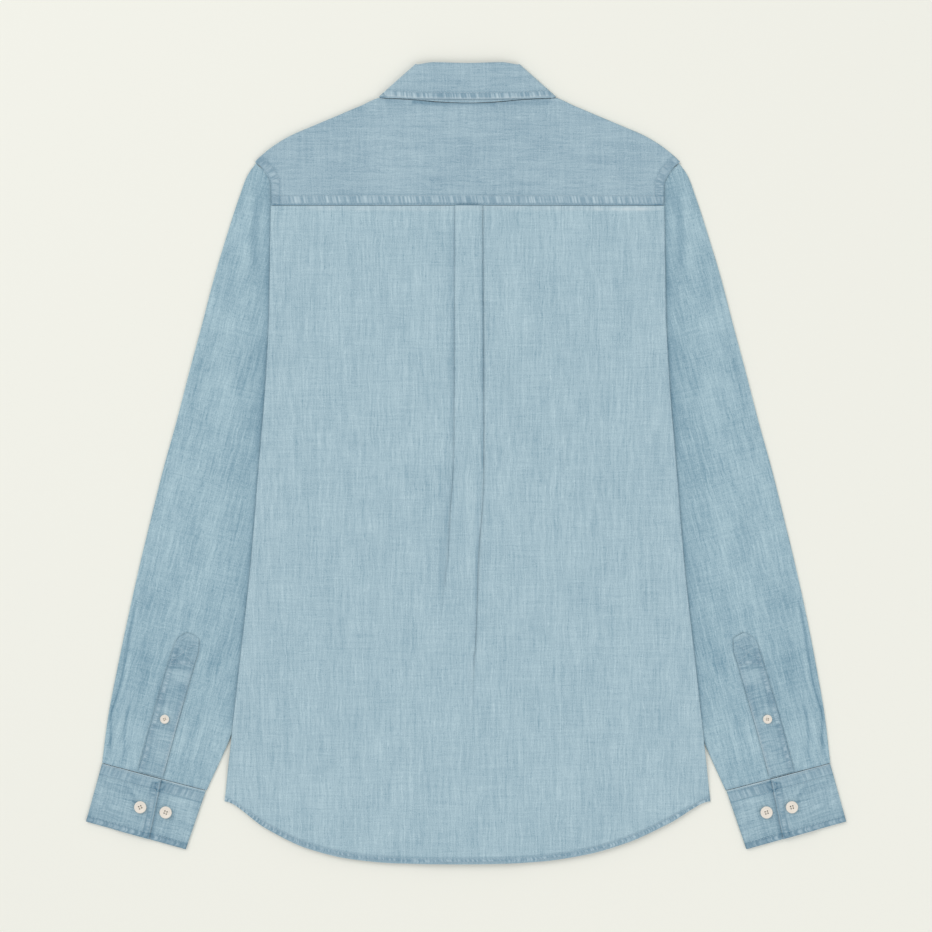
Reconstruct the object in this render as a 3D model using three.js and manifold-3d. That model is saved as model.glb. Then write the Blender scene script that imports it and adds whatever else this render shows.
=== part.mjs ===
// A long-sleeved button-up shirt in chambray, laid flat on its front with its back up.
// Millimetres. +X to the right, +Y towards the collar, +Z up from the surface it lies on.
// Every cloth piece is one wall of even thickness, lofted through a grid of middle-line points.
import * as THREE from 'three';
import { mergeVertices } from 'three/addons/utils/BufferGeometryUtils.js';
import Module from 'manifold-3d';

const wasm = await Module();
wasm.setup();

const { lerp, smoothstep } = THREE.MathUtils;

// Cloth
const wall = 1.0; // one layer of cloth
const gap = 0.3; // between layers, and between pieces at a seam
const pitch = wall + gap;
const foldRadius = pitch / 2; // middle line of a pressed fold
const foldSteps = 3;
const foldStep = 2 * foldRadius * Math.sin(Math.PI / (2 * foldSteps)); // its straight pieces
const layer = (count) => wall / 2 + count * pitch; // middle of a layer lying on others

// Garment
const bodyShift = 2; // the sleeves swing a little to one side, so the body sits off the middle
const swing = -1.4; // of the cuffs against the body
const swingStart = 120; // how far down the sleeves begin to swing, and where they have swung fully
const swingEnd = 330;
const seamGap = 0.4; // in plan, where two pieces meet edge to edge
const yokeSeamY = 257.5;
const hemCornerY = -338;
const frontHemLift = 2.5; // the fronts end a little above the back's hem
const lapWidth = 16; // of the fronts past the centre line
const boxDepth = 12; // cloth folded under each side of the back pleat
const sleeveCrown = 1.2; // loft of the upper layer of a sleeve
const tuckHeight = 0.8; // small pleats beside each cuff
const placketLift = 0.35; // of the sleeve placket over the sleeve's loft
const hemLean = 3; // the hem's curve hangs lower on the left and higher on the right

// Levels of the collar's layers, the middle of each wall, where it is folded over at the back
const leafRoll = { under: 6.1, turn: 6.75, over: 7.4 };
const leafEdgeLevel = 5.9;
const standBackLevel = { top: 6.1, middle: 5.25 };
const standLapEnds = { outer: 2.5, inner: 3.1 }; // the row beside each lapped end

// Buttons
const frontButton = { radius: 5.5, thick: 2.4 };
const cuffButton = { radius: 6.1, thick: 2.6 };
const placketButton = { radius: 4.5, thick: 2.2 };
const frontButtonCount = 7;
const firstFrontButtonY = 262;
const frontButtonStep = 92;
const neckButtonY = 299;

const placketLevel = frontButton.thick + seamGap + wall / 2; // outer front, over its buttons

// Half outlines. x is measured from the centre line of the body and mirrored.
// Side fold of the body, where the back turns under.
const sideFold = [
  { y: 290, x: 196 },
  { y: 217, x: 197.4 },
  { y: 170, x: 197.9 },
  { y: 83, x: 201.8 },
  { y: 3, x: 208.3 },
  { y: -55, x: 212.9 },
  { y: -96, x: 216.3 },
  { y: -193, x: 227 },
  { y: -274, x: 236 },
  { y: -338, x: 243 },
];

// Armhole seam, from the shoulder down to the underarm.
const armhole = [
  { y: 301, x: 211.5 },
  { y: 287, x: 196 },
  { y: 250, x: 178 },
  { y: 203, x: 164 },
  { y: 143, x: 155 },
  { y: 58, x: 148 },
];

// How far the body is turned under at the side seam, below the underarm.
const turnUnder = [
  { y: 58, width: 55.5 },
  { y: -338, width: 3 },
];

// Silhouette of the shoulders, from the neck to the armhole.
const shoulder = [
  { x: 84, y: 365.6 },
  { x: 101.5, y: 359.2 },
  { x: 130.5, y: 347.2 },
  { x: 159, y: 335.2 },
  { x: 185, y: 323.2 },
  { x: 197, y: 315 },
];

// Curved shirt-tail hem of the back.
const hem = [
  { x: 0, y: -400.3 },
  { x: 50, y: -399.7 },
  { x: 102, y: -395.5 },
  { x: 137, y: -388.5 },
  { x: 161, y: -381.3 },
  { x: 189, y: -368.8 },
  { x: 214, y: -355 },
  { x: 243, y: -338 },
];

// Sleeve: one row for each ring, from the armhole to the cuff.
// outer and inner are the ends of the flattened ring, bow follows the armhole's curve.
const sleeveRings = [
  { outerX: 211.5, outerY: 301, innerX: 148.2, innerY: 58.1, bow: 1 },
  { outerX: 219.6, outerY: 287.5, innerX: 149.7, innerY: 56.1, bow: 0.9 },
  { outerX: 227, outerY: 268, innerX: 152, innerY: 53, bow: 0.75 },
  { outerX: 238.5, outerY: 233, innerX: 154, innerY: 46, bow: 0.5 },
  { outerX: 250.5, outerY: 193, innerX: 156, innerY: 37, bow: 0.25 },
  { outerX: 263.5, outerY: 143, innerX: 158, innerY: 22, bow: 0.1 },
  { outerX: 277, outerY: 93, innerX: 161.5, innerY: 2, bow: 0 },
  { outerX: 290, outerY: 43, innerX: 166, innerY: -28, bow: 0 },
  { outerX: 304, outerY: -7, innerX: 172.5, innerY: -62, bow: 0 },
  { outerX: 316.5, outerY: -57, innerX: 181, innerY: -100, bow: 0 },
  { outerX: 328.5, outerY: -107, innerX: 192, innerY: -142, bow: 0 },
  { outerX: 339.5, outerY: -157, innerX: 205, innerY: -186, bow: 0 },
  { outerX: 349.5, outerY: -207, innerX: 220, innerY: -234, bow: 0 },
  { outerX: 358, outerY: -254, innerX: 238, innerY: -279, bow: 0 },
  { outerX: 363.6, outerY: -299.5, innerX: 259.6, innerY: -326.8, bow: 0 },
];

// Cuff: its four corners, and where its lapped end lies as a share of the way across.
const cuff = {
  outerTop: [364, -300],
  innerTop: [259.9, -327.3],
  outerBottom: [380.1, -357.8],
  innerBottom: [279.9, -385.7],
  lapAtTop: 0.57,
  lapAtBottom: 0.63,
  underlap: 26,
  wall: 1.3,
};

// Sleeve placket: one row for each step down from its pointed head to the cuff.
const placketRows = [
  { innerX: 276, innerY: -169.5, outerX: 279.5, outerY: -169.5 },
  { innerX: 267, innerY: -176, outerX: 288.5, outerY: -176 },
  { innerX: 267.5, innerY: -187, outerX: 293, outerY: -187.5 },
  { innerX: 272, innerY: -202.3, outerX: 297.2, outerY: -201 },
  { innerX: 280.7, innerY: -233, outerX: 308, outerY: -237 },
  { innerX: 292, innerY: -273, outerX: 319, outerY: -276 },
  { innerX: 303, innerY: -313.6, outerX: 327.5, outerY: -307.3 },
];

// Back pleat: the edges of the box, and how closed each side still is (1 at the yoke, 0 opened flat).
const pleat = [
  { y: 257.5, left: 12.5, right: 14.9, leftClosed: 1, rightClosed: 1 },
  { y: 23, left: 13.5, right: 15.9, leftClosed: 0.8, rightClosed: 0.85 },
  { y: -20, left: 16.5, right: 14.1, leftClosed: 0.6, rightClosed: 0.7 },
  { y: -60, left: 19, right: 10.5, leftClosed: 0.35, rightClosed: 0.55 },
  { y: -106, left: 25.5, right: 8.8, leftClosed: 0.1, rightClosed: 0.4 },
  { y: -150, left: 30, right: 6.1, leftClosed: 0, rightClosed: 0.25 },
  { y: -217, left: 32, right: 4.3, leftClosed: 0, rightClosed: 0 },
  { y: -401, left: 32, right: 4.3, leftClosed: 0, rightClosed: 0 },
];

// Front neckline, from past the centre to the forward shoulder seam, and the top of the stand above it.
const neckline = [
  { x: -16, y: 287.5, standX: -13, standY: 306.5 },
  { x: 0, y: 285.5, standX: 1.5, standY: 308.5 },
  { x: 16, y: 287.5, standX: 13.4, standY: 320.1 },
  { x: 28, y: 293, standX: 22.1, standY: 332.8 },
  { x: 45, y: 307, standX: 33.2, standY: 351.9 },
  { x: 68, y: 340, standX: 46.3, standY: 376.1 },
];
const neckSide = { x: 84, y: 365.6 };
const forwardSeamEnd = { x: 190, y: 275 };
const backNeckY = 359.5;
const backNeckRise = 7;

// Collar leaf: roll line to outer edge, from the front end round to the side fold.
const leafFront = [
  { rollX: 3, rollY: 313, edgeX: 56, edgeY: 250 },
  { rollX: 11, rollY: 322, edgeX: 62, edgeY: 271 },
  { rollX: 19.5, rollY: 334.5, edgeX: 69, edgeY: 297 },
  { rollX: 30.5, rollY: 353.5, edgeX: 76, edgeY: 321 },
  { rollX: 43.5, rollY: 377.5, edgeX: 83, edgeY: 346 },
];
const leafFold = { rollX: 52, rollY: 399, edgeX: 88.5, edgeY: 366.5 };
const leafBack = [
  { rollX: 34, rollY: 399.8, edgeX: 52, edgeY: 364 },
  { rollX: 0, rollY: 399, edgeX: 0, edgeY: 363.3 },
];
const standFold = { x: 83.5, y: 367.6, standX: 54, standY: 393.7 };
const standBack = [
  { x: 52, y: 363, standX: 34, standY: 395.6 },
  { x: 0, y: 360, standX: 0, standY: 395 },
];

const colours = {
  body: 0xa5bec8,
  yoke: 0x9fb8c4,
  sleeve: 0x98b3bf,
  cuff: 0x93adb9,
  button: 0xeae0d2,
};

// Straight interpolation of one column of a table against another.
function lookUp(table, key, column, value) {
  const rising = table[table.length - 1][key] > table[0][key];
  let index = 0;
  while (index < table.length - 2 && (table[index + 1][key] < value) === rising) {
    index += 1;
  }
  const from = table[index];
  const to = table[index + 1];
  const share = THREE.MathUtils.clamp((value - from[key]) / (to[key] - from[key]), 0, 1);
  return lerp(from[column], to[column], share);
}

const foldX = (y) => lookUp(sideFold, 'y', 'x', y);
const armholeX = (y) => lookUp(armhole, 'y', 'x', y);
const hemReach = hem[hem.length - 1].x;

function hemY(x) {
  const share = Math.min(1, Math.abs(x) / hemReach);
  const lean = Math.sign(x) * hemLean * Math.sin(Math.PI * share * share);
  return lookUp(hem, 'x', 'y', Math.abs(x)) + lean;
}
const underarmY = armhole[armhole.length - 1].y;
const sideSeamRows = [underarmY, 20, -20, -60, -106, -150, -193, -235, -290, -315, hemCornerY];

function sideSeamX(y) {
  if (y > underarmY) {
    return armholeX(y);
  }
  return foldX(y) - lookUp(turnUnder, 'y', 'width', y);
}

// A closed wall about a grid of middle-line points. wrapped joins each row's end to its start.
// keep(row, column) leaves out cells, as at the neck.
function clothWall(grid, { wrapped = false, thick = wall, keep = () => true } = {}) {
  const rows = grid.length;
  const columns = grid[0].length;
  const cellColumns = wrapped ? columns : columns - 1;
  const vertex = (row, column) => row * columns + (column % columns);
  const cells = [];
  const points = grid.flat();
  const normals = points.map(() => new THREE.Vector3());
  for (let row = 0; row < rows - 1; row += 1) {
    for (let column = 0; column < cellColumns; column += 1) {
      if (keep(row, column)) {
        const cell = [
          vertex(row, column),
          vertex(row, column + 1),
          vertex(row + 1, column + 1),
          vertex(row + 1, column),
        ];
        const corners = cell.map((index) => points[index]);
        const across = corners[2].clone().sub(corners[0]);
        const other = corners[3].clone().sub(corners[1]);
        const normal = across.cross(other).normalize();
        cell.forEach((index) => normals[index].add(normal));
        cells.push(cell);
      }
    }
  }
  const positions = [];
  const count = rows * columns;
  [1, -1].forEach((side) => {
    points.forEach((point, index) => {
      const out = normals[index].clone().normalize().multiplyScalar((side * thick) / 2);
      positions.push(...point.clone().add(out).toArray());
    });
  });
  const triangles = [];
  const edges = new Map();
  cells.forEach(([a, b, c, d]) => {
    triangles.push(a, b, c, a, c, d);
    triangles.push(a + count, c + count, b + count, a + count, d + count, c + count);
    [[a, b], [b, c], [c, d], [d, a]].forEach(([from, to]) => {
      if (edges.has(`${to},${from}`)) {
        edges.delete(`${to},${from}`);
      } else {
        edges.set(`${from},${to}`, [from, to]);
      }
    });
  });
  edges.forEach(([from, to]) => {
    triangles.push(from, from + count, to, to, from + count, to + count);
  });
  const geometry = new THREE.BufferGeometry();
  geometry.setAttribute('position', new THREE.Float32BufferAttribute(positions, 3));
  geometry.setIndex(triangles);
  return turnedOut(geometry);
}

// Turns a closed geometry's faces outwards if they point in, and drops points that no face uses.
function turnedOut(geometry) {
  const merged = mergeVertices(geometry.toNonIndexed(), 1e-4);
  const index = merged.index.array;
  const point = (corner) => new THREE.Vector3().fromBufferAttribute(merged.attributes.position, corner);
  let volume = 0;
  for (let i = 0; i < index.length; i += 3) {
    volume += point(index[i]).dot(point(index[i + 1]).cross(point(index[i + 2])));
  }
  if (volume < 0) {
    for (let i = 0; i < index.length; i += 3) {
      [index[i], index[i + 1]] = [index[i + 1], index[i]];
    }
  }
  return merged;
}

// Points of a fold, walked from start in steps of equal length that turn by turn in all.
// heading is in the plane of x and z; each point is { x, z }.
function foldWalk(start, heading, turn) {
  const points = [];
  let { x, z } = start;
  for (let i = 0; i < foldSteps; i += 1) {
    const angle = heading + turn * ((i + 0.5) / foldSteps);
    x += foldStep * Math.cos(angle);
    z += foldStep * Math.sin(angle);
    points.push({ x, z });
  }
  return points;
}

// Level of the turned-under side of the body: on the sleeve, and down on the surface below it.
function sideLevel(y) {
  return lerp(layer(0), layer(2), smoothstep(y, -330, -292));
}

// Middle of the uppermost layer of the body.
function backLevel(x, y) {
  const away = Math.abs(x);
  const overLap = (1 - smoothstep(away, 30, 70)) * (1 - smoothstep(y, 320, 350));
  const atSide = smoothstep(away, foldX(y) - 60, foldX(y) - 5);
  const open = layer(3) + overLap * (placketLevel + 2 * pitch - layer(3));
  return lerp(open, sideLevel(y) + pitch, atSide);
}

// Middle of a front: on the surface, over the collar leaf, over the sleeve and over the buttons.
// lapLevel is the level of the button edge.
function frontLevel(x, y, lapLevel) {
  const onLeaf = (1 - smoothstep(x, 110, 140)) * smoothstep(y, 150, 205);
  const base = lerp(layer(0), layer(1), onLeaf);
  const seam = sideSeamX(y);
  const onSleeve = smoothstep(x, seam - 15, seam - 4) * (1 - smoothstep(y, 20, 50));
  const sided = lerp(base, sideLevel(y), onSleeve);
  return lerp(lapLevel, sided, smoothstep(x, 16, 46));
}

// Middle of the upper layer of a sleeve.
function sleeveLevel(x, y, outerX) {
  const from = foldX(Math.min(y, 270)) + 8;
  const share = THREE.MathUtils.clamp((x - from) / (outerX - from), 0, 1);
  return layer(1) + sleeveCrown * Math.sin(Math.PI * share);
}

// One side of the back pleat as a section from the box's edge out to the body.
function pleatWalk(edge, closed, boxLevel) {
  const turn = Math.PI * Math.min(1, closed * 3);
  const depth = boxDepth * Math.max(0, (closed - 1 / 3) * 1.5) + 0.4;
  const start = { x: edge - foldRadius - wall / 2, z: boxLevel };
  const over = foldWalk(start, 0, -turn);
  const last = over[foldSteps - 1];
  const back = { x: last.x + depth * Math.cos(turn), z: last.z - depth * Math.sin(turn) };
  const under = foldWalk(back, -turn, turn);
  return [start, ...over, back, ...under];
}

function pleatDrop(closed) {
  const section = pleatWalk(0, closed, 0);
  return -section[section.length - 1].z;
}

// Turned-under edge of the body: the fold, then the flat part below it that ends at the seam.
function turnedEdge(y, level) {
  const start = { x: foldX(y) - wall / 2 - foldRadius, z: level };
  const fold = foldWalk(start, 0, -Math.PI);
  const last = fold[foldSteps - 1];
  const seam = Math.min(sideSeamX(y), last.x - 0.6);
  return [start, ...fold, { x: (last.x + seam) / 2, z: last.z }, { x: seam, z: last.z }];
}

function backPiece() {
  const rowY = [yokeSeamY, 240, 203, 143, 100, ...sideSeamRows];
  const openX = [36, 70, 115, 160];
  const grid = rowY.map((sideY) => {
    const share = (yokeSeamY - sideY) / (yokeSeamY - hemCornerY);
    const row = {
      left: lookUp(pleat, 'y', 'left', sideY),
      right: lookUp(pleat, 'y', 'right', sideY),
      leftClosed: lookUp(pleat, 'y', 'leftClosed', sideY),
      rightClosed: lookUp(pleat, 'y', 'rightClosed', sideY),
    };
    const half = (edge, closed) => {
      const top = backLevel(0, sideY) + pleatDrop(closed);
      const side = turnedEdge(sideY, sideLevel(sideY) + pitch);
      const nearSide = lerp(openX[openX.length - 1], side[0].x, 0.5);
      const open = [...openX, nearSide].map((x) => ({ x, z: backLevel(x, sideY) }));
      return [...pleatWalk(edge, closed, top), ...open, ...side.map((point) => ({ ...point, y: sideY }))];
    };
    const left = half(row.left, row.leftClosed).map((point) => ({ ...point, x: -point.x }));
    const right = half(row.right, row.rightClosed);
    const middle = { x: 0, z: (left[0].z + right[0].z) / 2 };
    return [...left.reverse(), middle, ...right].map(({ x, y, z }) => {
      const seamY = share === 0 ? yokeSeamY - seamGap : y;
      return new THREE.Vector3(x, seamY ?? lerp(yokeSeamY, hemY(x), share), z);
    });
  });
  return clothWall(grid);
}

// The yoke's side edge: turned under beside the back, then running out to the shoulder on the sleeve.
const yokeSide = [
  { share: 0, x: 194.85, y: yokeSeamY, turn: 1, aim: 0, under: 8 },
  { share: 0.25, x: 194.85, y: 268, turn: 0.75, aim: -8, under: 0.6 },
  { share: 0.5, x: 194.6, y: 281, turn: 0.25, aim: -25, under: 0.6 },
  { share: 0.75, x: 200.8, y: 295.5, turn: 0, aim: -48, under: 0.6 },
  { share: 1, x: 206.4, y: 301.2, turn: 0, aim: -48, under: 0.6 },
];
const yokeEdgeFlat = foldSteps * foldStep + 0.6; // width of that edge where it lies open
const forwardSeamSlope = 0.53; // rise of the forward shoulder seam for each step inwards
const shoulderAway = new THREE.Vector3(0.467, 0.884, 0); // square to the line of the shoulder
const armAway = new THREE.Vector3(0.8, 0.6, 0); // and to its outer end
const wrapAngles = [30, -30, -90]; // points of the roll over the shoulder, in degrees
const shoulderTipX = 204;

// Columns of the yoke: x at the back seam and at the shoulder. Those inside the neck end at the neckline.
const yokeSpots = [
  { seamX: 0, topX: 0 },
  { seamX: 14, topX: 14 },
  { seamX: 30, topX: 30 },
  { seamX: 58, topX: 58 },
  { seamX: 84, topX: 84 },
  { seamX: 106, topX: 108 },
  { seamX: 134, topX: 132 },
  { seamX: 158, topX: 156 },
  { seamX: 177, topX: 178 },
  { seamX: 188, topX: 194 },
];
const neckColumns = 4;

function yokeEdgePoints({ x, y, turn, aim, under }) {
  const angle = turn * Math.PI;
  const start = { x: 0, z: 0 };
  const fold = foldWalk(start, 0, -angle);
  const last = fold[foldSteps - 1];
  const end = { x: last.x + under * Math.cos(angle), z: last.z - under * Math.sin(angle) };
  const heading = THREE.MathUtils.degToRad(aim);
  return [start, ...fold, end].map((point) => {
    const outX = x + point.x * Math.cos(heading);
    const outY = y + point.x * Math.sin(heading);
    return new THREE.Vector3(outX, outY, layer(2) + point.z - end.z);
  });
}

// Right half of the yoke, column by column from the centre out. Each column runs up the back,
// over the shoulder and down to the forward seam; those at the neck end at the neckline.
function yokeColumns() {
  const corner = neckline[neckline.length - 1];
  return yokeSpots.map(({ seamX, topX }, index) => {
    const isNeck = index < neckColumns;
    const along = (topX - neckSide.x) / (shoulderTipX - neckSide.x);
    const topLevel = layer(3);
    const lowLevel = frontLevel(topX, neckSide.y, layer(0));
    const radius = (topLevel - lowLevel) / 2;
    const neckY = backNeckY + backNeckRise * (topX / neckSide.x) ** 2;
    const top = new THREE.Vector3(topX, isNeck ? neckY : lookUp(shoulder, 'x', 'y', topX), 0);
    if (!isNeck) {
      top.addScaledVector(shoulderAway, -radius - wall / 2);
    }
    const points = yokeSide.map(({ share }) => {
      const x = lerp(seamX, top.x, share);
      const y = lerp(yokeSeamY, top.y, share);
      return new THREE.Vector3(x, y, backLevel(x, Math.max(y, yokeSeamY)));
    });
    points[points.length - 1].z = topLevel;
    wrapAngles.forEach((degrees) => {
      const angle = THREE.MathUtils.degToRad(degrees);
      const point = top.clone().addScaledVector(shoulderAway, radius * Math.cos(angle));
      point.z = lowLevel + radius + radius * Math.sin(angle);
      points.push(point);
    });
    const seamShare = Math.max(0, along);
    const end = new THREE.Vector3(
      lerp(corner.x + 1.5, forwardSeamEnd.x - yokeEdgeFlat, seamShare),
      lerp(corner.y - 0.8, forwardSeamEnd.y + yokeEdgeFlat * forwardSeamSlope, seamShare),
      lowLevel,
    );
    const low = points[points.length - 1];
    points.push(low.clone().lerp(end, 0.5), end);
    return points;
  });
}

function yokePiece() {
  const columns = yokeColumns();
  const edge = yokeSide.map(yokeEdgePoints);
  const edgeCount = edge[0].length;
  for (let k = 0; k < edgeCount; k += 1) {
    const points = edge.map((row) => row[k]);
    const top = points[points.length - 1];
    const radius = (top.z - layer(0)) / 2;
    wrapAngles.forEach((degrees) => {
      const angle = THREE.MathUtils.degToRad(degrees);
      const point = top.clone().addScaledVector(armAway, radius * Math.cos(angle));
      point.z = layer(0) + radius + radius * Math.sin(angle);
      points.push(point);
    });
    const inset = yokeEdgeFlat * (1 - k / (edgeCount - 1)) + seamGap;
    const bend = new THREE.Vector3(armhole[1].x - inset * 0.8, armhole[1].y + inset * 0.5, layer(0));
    const endY = forwardSeamEnd.y + inset * forwardSeamSlope;
    const end = new THREE.Vector3(forwardSeamEnd.x - inset, endY, layer(0));
    points.push(bend, end);
    columns.push(points);
  }
  const mirrored = columns.slice(1).reverse().map((column) => {
    return column.map((point) => new THREE.Vector3(-point.x, point.y, point.z));
  });
  const grid = [...mirrored, ...columns];
  const middle = mirrored.length;
  const lastBackRow = yokeSide.length - 1;
  const keep = (row, column) => {
    const fromMiddle = row < middle ? middle - row - 1 : row - middle;
    return column < lastBackRow || fromMiddle >= neckColumns;
  };
  return clothWall(grid, { keep });
}

// A front. Its columns run down from the neckline and the forward shoulder seam to the hem.
function frontPiece(side, lapLevel) {
  const top = forwardSeamEnd.y;
  const sideRows = [top, 250, 203, 143, ...sideSeamRows];
  const sideX = (y) => (y > underarmY ? armholeX(y) : sideSeamX(y)) - seamGap;
  const lapColumns = [-lapWidth, 0, 16, 28, 45];
  const openColumns = [68, 92, 130];
  const sideInsets = [14, 4, 0];
  const topY = (x) => {
    const corner = neckline[neckline.length - 1];
    const end = { x: forwardSeamEnd.x - seamGap, y: forwardSeamEnd.y };
    if (x <= corner.x) {
      return lookUp(neckline, 'x', 'y', x) - seamGap;
    }
    return lerp(corner.y, end.y, (x - corner.x) / (end.x - corner.x)) - seamGap;
  };
  const grid = sideRows.map((sideY) => {
    const share = (top - sideY) / (top - hemCornerY);
    const edge = sideX(sideY);
    const firstEdge = sideX(top);
    const positions = [
      ...lapColumns.map((x) => ({ x, topX: x })),
      ...openColumns.map((x) => ({ x: lerp(45, edge, (x - 45) / (firstEdge - 45)), topX: x })),
      ...sideInsets.map((inset) => ({ x: edge - inset, topX: firstEdge - inset, isSide: true })),
    ];
    return positions.map(({ x, topX, isSide }) => {
      const hemEnd = isSide ? hemCornerY : hemY(side * x) + frontHemLift;
      const y = lerp(topY(topX), hemEnd, share);
      return new THREE.Vector3(x, y, frontLevel(x, y, lapLevel));
    });
  });
  return clothWall(grid);
}

// Across a flattened ring: plan points from the outer end to the inner one, with the fold points.
function sleeveRing(ring, shares) {
  const outer = new THREE.Vector2(ring.outerX, ring.outerY);
  const inner = new THREE.Vector2(ring.innerX, ring.innerY);
  const along = inner.clone().sub(outer).normalize();
  const bend = (share) => {
    const first = armhole[0];
    const last = armhole[armhole.length - 1];
    const y = lerp(first.y, last.y, share);
    return (armholeX(y) - lerp(first.x, last.x, share)) * ring.bow;
  };
  const plan = (share) => {
    const point = outer.clone().lerp(inner, share);
    point.x += bend(share);
    return point;
  };
  const middle = layer(0) + foldRadius;
  const arc = (end, direction) => [-30, 30].map((degrees) => {
    const angle = THREE.MathUtils.degToRad(degrees * direction);
    const reach = foldRadius * Math.cos(angle);
    const point = end.clone().addScaledVector(along, -direction * (reach - foldRadius));
    return new THREE.Vector3(point.x, point.y, middle + direction * foldRadius * Math.sin(angle));
  });
  const tuck = smoothstep(-ring.outerY, 150, 290) * tuckHeight;
  const upper = shares.map((share) => {
    const point = plan(share);
    const onTuck = share > 0.08 && share < 0.12 ? tuck : 0;
    const ends = Math.min(1, Math.min(share, 1 - share) * 12);
    const level = sleeveLevel(point.x, point.y, ring.outerX);
    return new THREE.Vector3(point.x, point.y, lerp(layer(1), level + onTuck, ends));
  });
  const lower = shares.map((share) => {
    const point = plan(share);
    return new THREE.Vector3(point.x, point.y, layer(0));
  });
  const inset = (points) => {
    points[0].x += along.x * foldRadius;
    points[0].y += along.y * foldRadius;
    points[points.length - 1].x -= along.x * foldRadius;
    points[points.length - 1].y -= along.y * foldRadius;
    return points;
  };
  return [...inset(lower).reverse(), ...arc(outer, 1), ...inset(upper), ...arc(inner, -1).reverse()];
}

function sleevePiece() {
  const first = armhole[0].y;
  const last = armhole[armhole.length - 1].y;
  const shares = armhole.map(({ y }) => (first - y) / (first - last));
  shares.splice(2, 0, 0.1, 0.145);
  shares.splice(shares.length - 1, 0, 0.85);
  const grid = sleeveRings.map((ring) => sleeveRing(ring, shares));
  return clothWall(grid, { wrapped: true });
}

// A barrel cuff, walked from the hidden end under the lap, round the inner fold, the underside and
// the outer fold to the lapped end on top.
function cuffPiece() {
  const cuffPitch = cuff.wall + gap;
  const low = cuff.wall / 2;
  const radius = cuffPitch / 2;
  const rowAt = (share) => {
    const outer = new THREE.Vector2(...cuff.outerTop).lerp(new THREE.Vector2(...cuff.outerBottom), share);
    const inner = new THREE.Vector2(...cuff.innerTop).lerp(new THREE.Vector2(...cuff.innerBottom), share);
    const across = inner.clone().sub(outer);
    const width = across.length();
    across.normalize();
    const lap = lerp(cuff.lapAtTop, cuff.lapAtBottom, share) * width;
    const at = (distance, z) => {
      const point = outer.clone().addScaledVector(across, distance);
      return new THREE.Vector3(point.x, point.y, z);
    };
    const bend = radius + cuff.wall / 2;
    const upper = low + cuffPitch;
    const hiddenEnd = lap - cuff.underlap;
    return [
      at(hiddenEnd, upper),
      at(lap - 8, upper),
      at(lap + 12, upper),
      at(width - bend, upper),
      at(width - bend + radius * 0.87, low + radius * 1.5),
      at(width - bend + radius * 0.87, low + radius * 0.5),
      at(width - bend, low),
      at(width / 2, low),
      at(bend, low),
      at(bend - radius * 0.87, low + radius * 0.5),
      at(bend - radius * 0.87, low + radius * 1.5),
      at(bend, upper),
      at(hiddenEnd - 14, upper),
      at(hiddenEnd - 3, upper + cuffPitch),
      at(lap - 12, upper + cuffPitch),
      at(lap, upper + cuffPitch),
    ];
  };
  return clothWall([0, 0.5, 1].map(rowAt), { thick: cuff.wall });
}

// Sleeve placket, a little above the sleeve's own surface.
function placketPiece() {
  const grid = placketRows.map(({ innerX, innerY, outerX, outerY }) => {
    return [0, 1 / 3, 2 / 3, 1].map((share) => {
      const x = lerp(innerX, outerX, share);
      const y = lerp(innerY, outerY, share);
      return new THREE.Vector3(x, y, sleeveTopAt(x, y) + gap + wall / 2);
    });
  });
  return clothWall(grid);
}

function sleeveTopAt(x, y) {
  const outerX = lookUp(sleeveRings, 'outerY', 'outerX', y);
  return sleeveLevel(x, y, outerX + 6) + wall / 2 + placketLift;
}

// The ring of a collar piece. Each generator is a list of plan points with their two levels:
// up on the back half and down on the front half. The side fold joins the two halves.
function collarRing(front, fold, back, frontLevels = () => null) {
  const foldAngles = [60, 20, -20, -60];
  const rowAt = (generator, isBack, frontIndex) => generator.map(({ x, y, high, low }, index) => {
    const level = frontLevels(frontIndex, index);
    return new THREE.Vector3(x, y, isBack ? high : level ?? low);
  });
  const lowerEnd = fold[fold.length - 1];
  const upperEnd = fold[0];
  const run = new THREE.Vector2(upperEnd.x - lowerEnd.x, upperEnd.y - lowerEnd.y).normalize();
  const outward = new THREE.Vector2(run.y, -run.x);
  if (outward.x < 0) {
    outward.negate();
  }
  const foldRows = foldAngles.map((degrees) => fold.map(({ x, y, high, low }) => {
    const radius = (high - low) / 2;
    const angle = THREE.MathUtils.degToRad(degrees);
    const reach = radius * Math.cos(angle) - radius - wall / 2;
    const level = (high + low) / 2 + radius * Math.sin(angle);
    return new THREE.Vector3(x + outward.x * reach, y + outward.y * reach, level);
  }));
  return {
    front: front.map((generator, index) => rowAt(generator, false, index)),
    fold: foldRows.reverse(),
    back: back.map((generator) => rowAt(generator, true, -1)),
  };
}

function mirror(row) {
  return row.map((point) => new THREE.Vector3(-point.x, point.y, point.z));
}

function collarLeafPiece() {
  const lip = 2.2;
  const generator = ({ rollX, rollY, edgeX, edgeY }) => {
    const run = new THREE.Vector2(edgeX - rollX, edgeY - rollY);
    const inset = lip / run.length();
    const at = (share, high, low) => ({ x: rollX + run.x * share, y: rollY + run.y * share, high, low });
    return [
      at(inset, leafRoll.under, layer(1)),
      at(0, leafRoll.turn, layer(0.5)),
      at(inset, leafRoll.over, layer(0)),
      at(0.5, leafRoll.turn, layer(0)),
      at(1, leafEdgeLevel, layer(0)),
    ];
  };
  const ring = collarRing(leafFront.map(generator), generator(leafFold), leafBack.map(generator));
  const half = [...ring.front, ...ring.fold, ...ring.back];
  const grid = [...half, ...half.slice(0, -1).reverse().map(mirror)];
  return clothWall(grid);
}

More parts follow.
